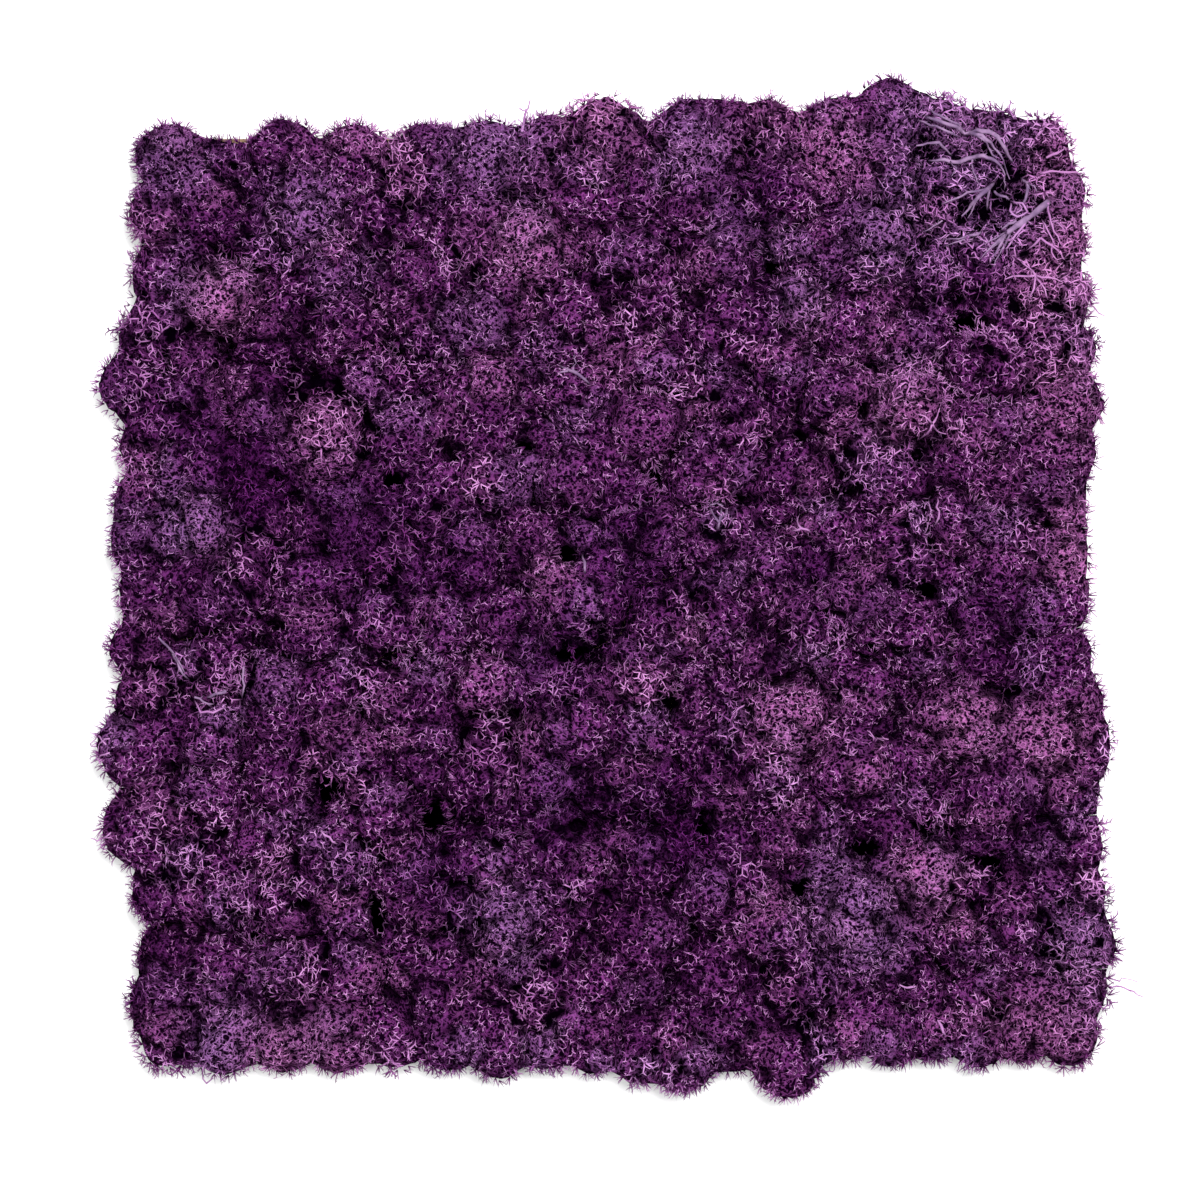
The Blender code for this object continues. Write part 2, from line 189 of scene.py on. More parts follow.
# The clumps that the moss has gathered into: photo point, half width, half height, paleness of ten
CLUMPS = [
    (175, 148, 22, 20, 6), (228, 156, 22, 12, 5), (266, 150, 22, 22, 6), (302, 150, 20, 20, 7),
    (365, 142, 30, 22, 7), (435, 142, 25, 18, 6), (490, 132, 22, 18, 8), (530, 137, 25, 20, 8),
    (592, 108, 24, 20, 9), (612, 140, 28, 18, 5), (160, 170, 18, 22, 6), (190, 180, 20, 20, 7),
    (216, 202, 15, 12, 6), (265, 175, 14, 24, 5), (300, 190, 20, 22, 7), (350, 175, 25, 24, 7),
    (410, 163, 25, 24, 6), (440, 185, 14, 20, 7), (478, 168, 22, 24, 8), (478, 205, 22, 18, 8),
    (530, 165, 22, 20, 5), (590, 165, 30, 20, 7), (602, 202, 26, 20, 8), (570, 206, 16, 16, 7),
    (155, 230, 18, 20, 6), (180, 245, 15, 12, 6), (212, 225, 22, 16, 5), (308, 225, 24, 25, 8),
    (337, 242, 16, 18, 8), (272, 258, 22, 15, 5), (365, 213, 25, 14, 5), (430, 237, 22, 15, 8),
    (472, 240, 17, 25, 5), (525, 230, 22, 22, 9), (500, 266, 20, 22, 8), (540, 264, 22, 18, 9),
    (580, 246, 22, 16, 6), (612, 252, 16, 15, 6), (155, 275, 22, 20, 7), (186, 288, 20, 12, 7),
    (218, 302, 26, 21, 10), (240, 284, 20, 16, 8), (150, 315, 20, 18, 7), (277, 290, 22, 18, 6),
    (257, 320, 22, 18, 5), (345, 276, 24, 22, 6), (350, 308, 20, 12, 6), (430, 268, 28, 22, 7),
    (398, 310, 22, 16, 6), (470, 328, 28, 24, 7), (430, 345, 24, 16, 6), (575, 310, 25, 22, 8),
    (602, 328, 20, 18, 7), (530, 312, 12, 14, 5), (118, 375, 22, 23, 5), (145, 370, 18, 20, 6),
    (190, 368, 20, 18, 6), (225, 387, 20, 18, 5), (172, 388, 16, 12, 6), (260, 360, 22, 16, 5),
    (330, 346, 16, 14, 7), (365, 330, 15, 26, 3), (365, 376, 14, 20, 8), (415, 370, 24, 18, 6),
    (456, 386, 22, 20, 8), (490, 378, 24, 24, 7), (540, 345, 18, 22, 7), (572, 370, 20, 14, 9),
    (555, 399, 25, 10, 8), (606, 366, 20, 22, 7), (600, 402, 18, 12, 6), (152, 420, 22, 18, 5),
    (200, 432, 16, 14, 5), (232, 420, 16, 14, 5), (264, 425, 15, 18, 6), (292, 455, 22, 12, 8),
    (332, 430, 28, 24, 9), (332, 470, 24, 16, 7), (405, 418, 24, 18, 7), (402, 450, 22, 16, 6),
    (482, 425, 30, 20, 6), (450, 420, 14, 20, 5), (570, 425, 22, 20, 6), (545, 440, 16, 12, 6),
    (600, 432, 14, 18, 6), (140, 475, 22, 24, 7), (167, 478, 16, 18, 8), (196, 460, 16, 12, 6),
    (208, 478, 14, 14, 6), (205, 520, 24, 25, 9), (176, 532, 18, 20, 7), (250, 455, 20, 18, 1),
    (250, 490, 24, 22, 1), (375, 482, 16, 14, 4), (345, 494, 25, 12, 6), (402, 510, 24, 14, 4),
    (440, 475, 26, 22, 7), (480, 475, 22, 20, 7), (516, 475, 22, 25, 6), (560, 470, 22, 20, 7),
    (600, 470, 22, 18, 7), (580, 492, 18, 12, 6), (130, 525, 20, 22, 5), (130, 570, 22, 16, 6),
    (178, 578, 22, 16, 5), (262, 560, 22, 24, 5), (300, 530, 34, 18, 4), (352, 530, 30, 20, 4),
    (312, 578, 22, 18, 7), (346, 576, 16, 14, 6), (420, 532, 25, 20, 4), (465, 535, 22, 15, 7),
    (485, 575, 22, 18, 5), (530, 525, 22, 16, 6), (552, 576, 22, 14, 8), (590, 536, 16, 14, 8),
    (602, 562, 18, 16, 6), (420, 570, 20, 16, 5), (380, 560, 18, 16, 4),
    (678, 124, 28, 20, 6), (720, 115, 25, 16, 5), (760, 105, 13, 14, 6), (790, 122, 20, 15, 5),
    (826, 116, 15, 14, 7), (865, 105, 22, 20, 8), (905, 105, 25, 20, 8), (945, 106, 25, 15, 7),
    (852, 142, 20, 24, 8), (820, 152, 20, 24, 9), (890, 150, 20, 20, 7), (960, 130, 24, 16, 8),
    (1030, 130, 22, 15, 9), (1062, 140, 18, 20, 9), (640, 148, 18, 18, 6), (700, 150, 28, 20, 8),
    (662, 168, 15, 20, 8), (632, 176, 16, 18, 5), (683, 182, 16, 16, 7), (716, 176, 14, 14, 6),
    (775, 142, 16, 14, 5), (780, 180, 22, 18, 5), (830, 182, 20, 18, 8), (862, 180, 18, 16, 7),
    (900, 184, 18, 16, 7), (935, 174, 20, 14, 8), (970, 180, 20, 14, 9), (1040, 180, 14, 20, 8),
    (1070, 192, 16, 25, 9), (640, 208, 18, 14, 7), (672, 215, 20, 18, 6), (702, 214, 12, 14, 6),
    (725, 222, 22, 22, 8), (746, 204, 11, 12, 8), (795, 207, 14, 10, 10), (822, 230, 16, 14, 6),
    (798, 242, 20, 15, 9), (846, 214, 16, 14, 5), (868, 228, 18, 18, 8), (892, 230, 18, 18, 8),
    (935, 215, 20, 16, 8), (960, 232, 20, 14, 8), (985, 246, 18, 18, 8), (1030, 225, 20, 22, 8),
    (1064, 226, 18, 24, 10), (642, 256, 18, 16, 6), (690, 240, 16, 10, 6), (662, 276, 18, 18, 7),
    (700, 266, 20, 16, 6), (730, 266, 15, 14, 6), (730, 306, 18, 14, 6), (800, 282, 14, 22, 8),
    (810, 312, 18, 18, 8), (830, 262, 18, 16, 6), (865, 276, 15, 16, 9), (890, 262, 12, 12, 9),
    (880, 300, 20, 14, 5), (935, 265, 20, 20, 6), (975, 275, 14, 12, 3), (1005, 275, 16, 18, 6),
    (1040, 276, 20, 22, 9), (1076, 282, 15, 24, 10), (660, 302, 18, 12, 6), (625, 330, 16, 16, 7),
    (640, 347, 16, 14, 9), (657, 367, 18, 12, 8), (700, 332, 24, 18, 6), (732, 342, 14, 14, 6),
    (770, 355, 22, 14, 7), (790, 371, 20, 12, 8), (760, 320, 18, 18, 5), (850, 325, 20, 18, 8),
    (882, 330, 18, 16, 8), (925, 328, 18, 14, 5), (950, 335, 14, 18, 6), (1000, 330, 16, 18, 8),
    (1030, 325, 14, 14, 8), (1062, 325, 16, 12, 9), (1035, 351, 20, 12, 8), (1010, 376, 18, 16, 7),
    (1050, 376, 20, 16, 7), (1082, 370, 12, 20, 9), (820, 390, 20, 24, 7), (860, 380, 12, 14, 7),
    (845, 358, 16, 14, 6), (900, 380, 20, 20, 8), (932, 386, 18, 18, 8), (960, 366, 14, 14, 7),
    (690, 390, 16, 18, 8), (720, 374, 16, 14, 6), (742, 396, 18, 16, 5), (780, 396, 20, 10, 4),
    (642, 427, 32, 30, 7), (700, 412, 14, 12, 6), (700, 442, 18, 18, 6), (716, 462, 14, 12, 7),
    (745, 432, 16, 18, 6), (770, 418, 16, 16, 4), (887, 410, 14, 12, 8), (912, 416, 24, 18, 9),
    (960, 412, 20, 18, 6), (976, 436, 24, 16, 7), (1010, 420, 20, 22, 7), (1065, 416, 24, 16, 8),
    (1040, 450, 24, 16, 6), (840, 424, 14, 18, 7), (862, 436, 14, 12, 7), (628, 482, 18, 20, 6),
    (685, 482, 18, 24, 7), (716, 492, 14, 12, 6), (745, 466, 14, 18, 7), (792, 456, 18, 12, 6),
    (775, 482, 24, 14, 6), (815, 478, 18, 20, 5), (880, 470, 28, 24, 6), (908, 484, 14, 16, 5),
    (960, 462, 20, 16, 7), (1000, 482, 24, 18, 5), (1050, 484, 24, 14, 5), (1076, 458, 14, 15, 8),
    (620, 512, 16, 16, 5), (680, 512, 20, 14, 6), (716, 516, 16, 14, 8), (738, 522, 12, 12, 7),
    (780, 510, 20, 12, 7), (800, 530, 14, 9, 9), (818, 506, 18, 12, 8), (832, 522, 12, 14, 8),
    (870, 510, 16, 14, 6), (892, 510, 12, 14, 7), (920, 514, 14, 14, 8), (943, 516, 14, 18, 9),
    (880, 536, 14, 12, 8), (952, 543, 14, 16, 7), (1000, 522, 22, 18, 7), (1036, 540, 18, 16, 6),
    (1075, 522, 18, 20, 9), (680, 552, 28, 18, 6), (720, 576, 20, 12, 6), (768, 556, 20, 16, 7),
    (802, 562, 22, 14, 5), (850, 546, 15, 18, 7), (868, 566, 16, 12, 7), (910, 562, 20, 14, 6),
    (955, 572, 18, 14, 8), (1010, 562, 22, 16, 8), (1070, 566, 20, 20, 9), (640, 582, 18, 18, 4),
    (150, 592, 22, 16, 5), (130, 612, 16, 14, 6), (160, 616, 20, 16, 5), (215, 602, 22, 20, 5),
    (240, 628, 14, 12, 6), (288, 596, 20, 16, 7), (310, 614, 24, 18, 6), (372, 600, 18, 12, 6),
    (378, 620, 22, 14, 7), (396, 636, 22, 11, 8), (430, 610, 15, 15, 7), (452, 610, 14, 14, 7),
    (500, 602, 24, 22, 6), (490, 632, 18, 16, 6), (552, 602, 18, 18, 8), (580, 604, 20, 20, 9),
    (580, 628, 14, 10, 8), (120, 642, 15, 18, 5), (158, 652, 16, 16, 4), (180, 662, 14, 14, 7),
    (226, 652, 18, 12, 6), (230, 672, 18, 14, 6), (140, 686, 20, 16, 5), (276, 682, 22, 24, 6),
    (275, 724, 22, 18, 7), (324, 690, 20, 22, 7), (330, 725, 20, 14, 7), (346, 668, 14, 14, 7),
    (306, 642, 24, 12, 5), (370, 682, 16, 16, 7), (390, 698, 18, 18, 7), (430, 672, 16, 16, 7),
    (452, 650, 14, 22, 7), (430, 702, 22, 12, 5), (486, 682, 26, 24, 9), (530, 660, 14, 16, 5),
    (522, 692, 18, 14, 6), (560, 682, 20, 14, 6), (612, 682, 14, 18, 6), (115, 740, 18, 16, 8),
    (98, 750, 10, 9, 7), (150, 742, 20, 18, 7), (214, 694, 20, 9, 9), (225, 716, 16, 11, 9),
    (215, 744, 24, 16, 9), (180, 722, 16, 14, 5), (400, 718, 16, 12, 6), (385, 742, 24, 12, 6),
    (440, 736, 20, 11, 6), (402, 764, 24, 12, 5), (490, 746, 21, 24, 5), (530, 742, 18, 18, 7),
    (560, 736, 18, 16, 8), (592, 722, 18, 20, 9), (580, 752, 18, 10, 7), (320, 762, 12, 10, 6),
    (350, 762, 14, 12, 7), (262, 762, 20, 12, 5), (135, 770, 15, 12, 8), (150, 792, 18, 14, 5),
    (200, 786, 18, 14, 6), (230, 782, 15, 18, 7), (276, 792, 20, 16, 6), (352, 784, 18, 14, 6),
    (382, 796, 20, 16, 7), (430, 780, 18, 12, 5), (470, 782, 24, 14, 5), (516, 788, 20, 16, 7),
    (550, 782, 18, 18, 8), (512, 812, 18, 12, 7), (220, 812, 18, 12, 8), (165, 816, 18, 14, 6),
    (282, 816, 20, 14, 6), (135, 830, 14, 14, 7), (146, 854, 18, 12, 8), (104, 840, 12, 7, 7),
    (182, 862, 18, 16, 7), (218, 872, 15, 16, 7), (250, 842, 18, 16, 8), (276, 862, 13, 15, 8),
    (318, 836, 12, 12, 8), (340, 824, 11, 14, 9), (380, 822, 18, 18, 8), (392, 846, 16, 12, 6),
    (345, 862, 20, 16, 6), (310, 872, 15, 14, 6), (470, 862, 18, 14, 7), (492, 880, 18, 12, 8),
    (492, 856, 16, 12, 7), (530, 862, 18, 14, 6), (560, 862, 16, 14, 6), (590, 862, 18, 16, 7),
    (415, 870, 18, 14, 5), (430, 892, 16, 12, 4), (160, 902, 18, 14, 5), (192, 906, 16, 14, 7),
    (216, 902, 14, 18, 7), (245, 892, 18, 16, 8), (270, 902, 16, 18, 7), (285, 926, 18, 14, 6),
    (340, 904, 16, 9, 8), (348, 920, 20, 9, 9), (388, 888, 16, 12, 8), (402, 907, 14, 10, 6),
    (430, 916, 18, 10, 5), (460, 906, 18, 14, 6), (500, 900, 18, 20, 8), (514, 922, 18, 16, 8),
    (495, 944, 16, 12, 7), (542, 902, 18, 16, 6), (590, 882, 18, 10, 7), (560, 928, 20, 16, 6),
    (170, 952, 18, 12, 3), (170, 984, 20, 18, 6), (220, 960, 20, 16, 7), (202, 992, 16, 12, 7),
    (215, 1012, 14, 10, 6), (278, 966, 20, 18, 7), (310, 970, 13, 14, 7), (340, 992, 20, 12, 7),
    (376, 972, 22, 14, 8), (350, 956, 12, 10, 7), (402, 950, 18, 12, 6), (440, 960, 20, 14, 6),
    (482, 972, 18, 14, 6), (520, 964, 18, 14, 8), (542, 980, 15, 14, 7), (592, 984, 22, 16, 8),
    (160, 1028, 16, 18, 7), (220, 1050, 16, 18, 9), (236, 1026, 16, 14, 8), (152, 1054, 18, 11, 8),
    (272, 1050, 20, 16, 8), (310, 1044, 22, 18, 7), (346, 1056, 20, 14, 8), (380, 1024, 20, 16, 8),
    (366, 1004, 13, 12, 7), (332, 1022, 16, 14, 6), (432, 1010, 13, 18, 6), (402, 1050, 18, 14, 7),
    (460, 1010, 13, 14, 6), (470, 1046, 18, 16, 7), (500, 1050, 22, 16, 8), (490, 1020, 18, 14, 6),
    (530, 1010, 18, 16, 6), (540, 1046, 16, 18, 9), (576, 1018, 13, 16, 9), (572, 1054, 16, 12, 8),
    (604, 1030, 16, 18, 6), (604, 1060, 16, 12, 8), (440, 1046, 14, 14, 6),
    (650, 620, 18, 18, 6), (680, 614, 16, 16, 6), (690, 635, 16, 13, 9), (722, 642, 16, 14, 7),
    (730, 610, 16, 16, 6), (762, 600, 14, 12, 7), (792, 602, 16, 14, 5), (638, 648, 18, 12, 6),
    (618, 602, 12, 18, 5), (820, 634, 18, 16, 7), (840, 590, 15, 14, 8), (880, 608, 20, 18, 6),
    (886, 634, 20, 11, 7), (920, 620, 15, 18, 7), (940, 642, 15, 12, 6), (960, 592, 15, 14, 8),
    (1000, 592, 20, 18, 8), (978, 612, 16, 16, 6), (970, 640, 15, 11, 6), (1040, 610, 18, 20, 8),
    (1070, 602, 15, 20, 9), (1060, 642, 18, 18, 7), (638, 680, 26, 20, 8), (670, 650, 15, 11, 6),
    (692, 662, 18, 14, 6), (730, 682, 18, 12, 6), (740, 655, 18, 9, 5), (818, 654, 18, 12, 8),
    (842, 664, 13, 16, 8), (882, 682, 22, 18, 8), (868, 700, 22, 14, 9), (930, 662, 15, 12, 6),
    (940, 686, 15, 14, 6), (962, 692, 16, 12, 7), (985, 666, 18, 14, 3), (1032, 666, 13, 20, 7),
    (1072, 670, 18, 16, 8), (1060, 692, 16, 12, 7), (1088, 690, 12, 12, 9), (640, 726, 24, 16, 7),
    (662, 742, 15, 12, 8), (616, 724, 14, 16, 4), (700, 712, 15, 18, 5), (730, 716, 13, 18, 6),
    (775, 706, 20, 16, 9), (815, 708, 18, 15, 9), (826, 736, 16, 14, 7), (790, 742, 20, 16, 8),
    (850, 746, 20, 14, 7), (862, 716, 14, 9, 6), (930, 714, 15, 14, 6), (968, 712, 22, 16, 9),
    (986, 736, 24, 16, 9), (958, 746, 14, 10, 8), (1042, 736, 29, 24, 10), (1090, 718, 14, 18, 6),
    (1106, 746, 12, 16, 8), (912, 756, 19, 20, 8), (690, 744, 14, 14, 4), (630, 770, 22, 12, 5),
    (642, 790, 16, 10, 5), (668, 774, 16, 10, 4), (710, 790, 15, 16, 7), (732, 804, 16, 14, 6),
    (782, 772, 18, 20, 10), (762, 752, 14, 12, 8), (828, 772, 22, 22, 8), (868, 768, 20, 18, 8),
    (908, 796, 16, 12, 7), (930, 812, 16, 12, 6), (980, 788, 22, 14, 5), (982, 815, 22, 14, 7),
    (1022, 784, 16, 16, 5), (1012, 760, 18, 12, 4), (1092, 762, 14, 16, 9), (1062, 792, 14, 12, 6),
    (1082, 812, 16, 16, 8), (1094, 836, 12, 16, 9), (762, 820, 15, 18, 6), (800, 812, 16, 14, 6),
    (832, 822, 16, 14, 6), (868, 816, 16, 12, 5), (900, 824, 14, 14, 6), (620, 842, 13, 11, 6),
    (650, 848, 18, 12, 6), (684, 842, 18, 18, 1), (730, 846, 18, 16, 6), (776, 852, 20, 12, 6),
    (712, 880, 20, 16, 7), (698, 902, 18, 16, 7), (742, 874, 18, 14, 6), (645, 880, 18, 16, 4),
    (825, 870, 16, 18, 8), (862, 894, 24, 22, 8), (882, 872, 14, 12, 6), (910, 860, 16, 14, 8),
    (935, 872, 20, 22, 9), (982, 840, 22, 12, 5), (972, 882, 18, 14, 5), (1012, 902, 20, 18, 6),
    (1042, 852, 20, 10, 5), (1050, 886, 18, 14, 6), (1086, 852, 16, 14, 7), (1094, 882, 14, 14, 8),
    (620, 926, 16, 14, 3), (660, 932, 18, 16, 6), (640, 956, 20, 14, 6), (742, 932, 18, 18, 7),
    (768, 908, 18, 14, 8), (778, 936, 16, 16, 10), (800, 956, 14, 12, 9), (808, 922, 15, 14, 8),
    (852, 926, 22, 16, 8), (880, 952, 20, 14, 7), (910, 940, 16, 16, 7), (938, 934, 14, 11, 9),
    (960, 930, 12, 12, 9), (982, 950, 18, 12, 6), (1016, 932, 16, 18, 7), (1080, 930, 19, 18, 9),
    (1086, 962, 19, 16, 10), (640, 992, 22, 12, 5), (700, 960, 18, 14, 5), (722, 986, 18, 18, 6),
    (790, 986, 15, 12, 5), (820, 984, 15, 18, 6), (855, 970, 18, 14, 8), (870, 1008, 20, 18, 7),
    (850, 1032, 22, 15, 9), (882, 1040, 22, 14, 9), (930, 990, 16, 14, 8), (960, 986, 16, 14, 8),
    (972, 1016, 18, 12, 8), (992, 980, 14, 12, 6), (1022, 968, 15, 9, 6), (1040, 990, 24, 14, 7),
    (1040, 1022, 26, 18, 7), (1082, 1010, 16, 20, 8), (1070, 1040, 20, 12, 9), (1012, 1044, 16, 12, 7),
    (940, 1028, 16, 16, 9), (962, 1050, 18, 12, 7), (910, 1036, 14, 18, 8), (640, 1036, 16, 14, 4),
    (670, 1036, 18, 16, 8), (650, 1066, 24, 12, 8), (722, 1030, 20, 14, 6), (742, 1010, 18, 13, 6),
    (762, 1050, 18, 13, 7), (700, 1056, 18, 14, 7), (670, 1086, 18, 11, 8), (792, 1054, 16, 14, 7),
    (786, 1088, 19, 13, 6), (822, 1050, 14, 18, 7), (628, 1064, 14, 12, 7), (690, 1010, 16, 14, 5),
]

# Bared stalks: what they look like, and their course in photo points with a width in points at each
STALKS = {
    "grey": [
        [(925, 118, 3), (935, 122, 5), (948, 127, 5), (960, 131, 5), (970, 134, 5), (980, 138, 5),
         (989, 144, 4), (996, 151, 3), (1002, 159, 2)],
        [(930, 112, 2), (938, 118, 3), (947, 122, 3), (957, 126, 3), (966, 131, 3)],
        [(964, 132, 3), (976, 132, 5), (987, 134, 6), (995, 139, 6), (1002, 147, 5), (1008, 154, 4),
         (1014, 161, 2)],
        [(975, 138, 3), (985, 144, 3), (990, 151, 3), (996, 158, 2)],
        [(918, 121, 2), (930, 127, 3), (940, 131, 3), (950, 135, 3), (960, 138, 2)],
        [(916, 146, 2), (928, 143, 3), (938, 144, 4), (946, 149, 3), (953, 154, 2)],
        [(929, 160, 2), (940, 160, 4), (950, 162, 5), (960, 162, 6), (968, 158, 6), (978, 156, 6),
         (987, 158, 5), (995, 162, 4), (1003, 168, 2)],
        [(973, 159, 3), (972, 170, 2), (974, 178, 2), (978, 188, 1)],
        [(950, 162, 2), (955, 170, 2), (950, 178, 1)],
        [(996, 163, 2), (1003, 170, 2), (1005, 180, 2), (1006, 188, 1)],
        [(994, 183, 4), (987, 190, 6), (981, 195, 6), (974, 202, 5), (968, 210, 3), (961, 217, 2)],
        [(988, 191, 3), (987, 200, 3), (988, 209, 2)],
        [(984, 191, 3), (972, 194, 3), (960, 198, 3), (950, 202, 2), (940, 206, 1)],
        [(975, 201, 3), (972, 210, 2), (967, 219, 1)],
        [(995, 191, 3), (1002, 194, 4), (1011, 198, 3)],
        [(1046, 204, 8), (1036, 212, 9), (1026, 219, 9), (1016, 226, 8), (1008, 232, 7), (1000, 239, 4),
         (990, 248, 3), (981, 257, 1)],
        [(1010, 230, 4), (1002, 239, 4), (996, 250, 3), (988, 264, 1)],
        [(1007, 233, 4), (998, 243, 3), (985, 253, 2), (977, 262, 1)],
        [(1006, 232, 3), (993, 241, 2), (981, 247, 1)],
        [(1011, 231, 3), (1004, 245, 3), (996, 258, 2), (991, 269, 1)],
        [(1016, 221, 3), (1008, 224, 4), (1001, 230, 2)],
        [(1022, 176, 2), (1027, 184, 4), (1026, 195, 4), (1022, 205, 3)],
        [(1027, 185, 3), (1035, 193, 2)],
        [(980, 233, 3), (970, 236, 4), (958, 240, 2), (942, 240, 1)],
        [(968, 237, 2), (957, 243, 2), (944, 247, 1)],
        [(923, 232, 1), (934, 226, 2), (941, 222, 2)],
        [(1000, 157, 2), (1006, 166, 2), (1011, 178, 1)],
        [(560, 366, 2), (571, 372, 4), (579, 376, 4), (590, 385, 2)],
        [(573, 372, 3), (576, 363, 2), (574, 356, 1)],
        [(568, 372, 3), (558, 374, 2)],
        [(717, 529, 4), (719, 519, 3), (721, 508, 2)],
        [(718, 523, 3), (712, 514, 2), (708, 507, 1)],
        [(719, 521, 2), (726, 514, 2), (725, 508, 1)],
        [(710, 505, 2), (717, 503, 2), (723, 506, 2)],
        [(160, 637, 2), (168, 646, 3), (175, 657, 4), (182, 668, 4), (190, 680, 2)],
        [(170, 648, 2), (179, 659, 2), (187, 673, 1)],
        [(208, 697, 3), (217, 693, 4), (227, 691, 4)],
        [(195, 697, 3), (204, 702, 3), (214, 704, 2)],
        [(243, 660, 3), (245, 672, 3), (246, 685, 3), (243, 697, 2)],
        [(582, 554, 2), (585, 563, 4), (585, 573, 2)],
    ],
    "pink": [
        [(1026, 219, 4), (1020, 230, 3), (1012, 240, 3), (1006, 249, 2), (1004, 258, 1)],
        [(1012, 200, 2), (1022, 204, 3), (1027, 212, 3), (1017, 217, 3), (1010, 211, 3), (1012, 202, 2)],
        [(1018, 203, 2), (1021, 210, 2), (1015, 214, 2)],
        [(1046, 205, 3), (1049, 216, 3), (1051, 226, 3), (1056, 238, 2), (1061, 248, 1)],
        [(1049, 218, 2), (1056, 223, 2), (1063, 231, 1)],
        [(1042, 219, 2), (1046, 232, 2), (1053, 246, 1)],
        [(1034, 277, 3), (1020, 276, 3), (1003, 281, 1)],
        [(1034, 277, 3), (1030, 268, 2), (1021, 261, 1)],
        [(1034, 277, 3), (1046, 279, 3), (1060, 284, 1)],
        [(1034, 277, 3), (1032, 290, 3), (1026, 303, 1)],
        [(1034, 279, 2), (1042, 291, 2), (1046, 301, 1)],
        [(1039, 239, 3), (1034, 245, 3), (1027, 250, 1)],
        [(1039, 239, 3), (1050, 247, 3), (1063, 258, 1)],
        [(1050, 248, 2), (1052, 257, 2), (1060, 268, 1)],
        [(1040, 174, 3), (1050, 172, 3), (1062, 174, 3), (1075, 173, 3), (1085, 176, 1)],
        [(1045, 159, 3), (1055, 155, 4), (1063, 150, 2)],
        [(930, 425, 3), (922, 418, 2), (914, 416, 1)],
        [(930, 425, 3), (936, 417, 2), (938, 409, 1)],
        [(930, 425, 3), (938, 431, 2), (946, 434, 1)],
        [(930, 425, 3), (926, 434, 2), (919, 440, 1)],
        [(791, 531, 2), (800, 529, 3), (809, 532, 2)],
        [(800, 529, 3), (797, 522, 2), (799, 516, 1)],
        [(937, 498, 2), (935, 508, 3), (936, 518, 3), (933, 527, 1)],
        [(936, 1018, 2), (940, 1025, 4), (944, 1033, 2)],
        [(898, 983, 2), (906, 986, 3), (914, 984, 2)],
        [(322, 830, 2), (331, 836, 3), (338, 843, 2)],
        [(194, 700, 2), (203, 712, 3), (216, 712, 3), (228, 707, 2)],
        [(1104, 986, 2), (1116, 990, 2), (1126, 990, 2), (1136, 993, 2), (1146, 999, 1)],
        [(1106, 980, 2), (1122, 983, 2), (1131, 981, 1), (1140, 984, 1)],
        [(522, 132, 3), (524, 118, 3), (526, 108, 3), (530, 100, 2)],
        [(526, 110, 2), (519, 105, 2)],
        [(112, 738, 2), (104, 741, 2), (96, 747, 2), (88, 744, 1)],
        [(108, 744, 2), (100, 737, 2), (92, 735, 1)],
        [(112, 752, 2), (102, 755, 2), (95, 760, 2), (88, 764, 1)],
        [(98, 746, 1), (97, 754, 1), (95, 761, 1)],
        [(112, 832, 2), (104, 838, 2), (97, 841, 2), (90, 838, 1)],
        [(114, 846, 2), (106, 850, 2), (99, 848, 1)],
        [(104, 838, 1), (101, 844, 1), (103, 850, 1)],
        [(204, 1066, 2), (200, 1076, 2), (206, 1084, 2), (214, 1080, 1)],
        [(1086, 284, 2), (1094, 290, 2), (1103, 288, 1)],
        [(1084, 300, 2), (1096, 306, 2), (1106, 316, 1)],
    ],
}

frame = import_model()
cad_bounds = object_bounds()


def spot(px, py):
    """The place on the mat that a point of the photo shows."""
    return Vector(((px - PHOTO_MIDDLE[0]) * PIXEL, (PHOTO_MIDDLE[1] - py) * PIXEL, 0))


# Graphs: one way of adding nodes, for materials and for growth


class Term:
    """A number socket that sums and products work on, from either side."""

    def __init__(self, graph, socket):
        self.graph = graph
        self.socket = socket

    def _with(self, operation, *values):
        made = self.graph.node("ShaderNodeMath", {"operation": operation}, dict(enumerate(values)))
        return Term(self.graph, made.outputs[0])

    def __add__(self, other):
        return self._with("ADD", self, other)

    def __radd__(self, other):
        return self._with("ADD", other, self)

    def __sub__(self, other):
        return self._with("SUBTRACT", self, other)

    def __rsub__(self, other):
        return self._with("SUBTRACT", other, self)

    def __mul__(self, other):
        return self._with("MULTIPLY", self, other)

    def __rmul__(self, other):
        return self._with("MULTIPLY", other, self)

    def size(self):
        return self._with("ABSOLUTE", self)

    def larger(self, other):
        return self._with("MAXIMUM", self, other)

    def smaller(self, other):
        return self._with("MINIMUM", self, other)

    def above(self, low, high):
        """0 at low and 1 at high, easing between them."""
        settings = {"interpolation_type": "SMOOTHSTEP"}
        inputs = {"Value": self, "From Min": low, "From Max": high}
        return Term(self.graph, self.graph.node("ShaderNodeMapRange", settings, inputs).outputs[0])


class Graph:
    """A node tree being filled."""

    def __init__(self, tree):
        self.tree = tree

    def node(self, kind, settings=None, inputs=None):
        made = self.tree.nodes.new(kind)
        for name, value in (settings or {}).items():
            setattr(made, name, value)
        for name, value in (inputs or {}).items():
            self.feed(made.inputs[name], value)
        return made

    def feed(self, socket, value):
        if isinstance(value, Term):
            value = value.socket
        if isinstance(value, bpy.types.NodeSocket):
            self.tree.links.new(value, socket)
        else:
            socket.default_value = value

    def term(self, kind, settings=None, inputs=None, output=0):
        return Term(self, self.node(kind, settings, inputs).outputs[output])


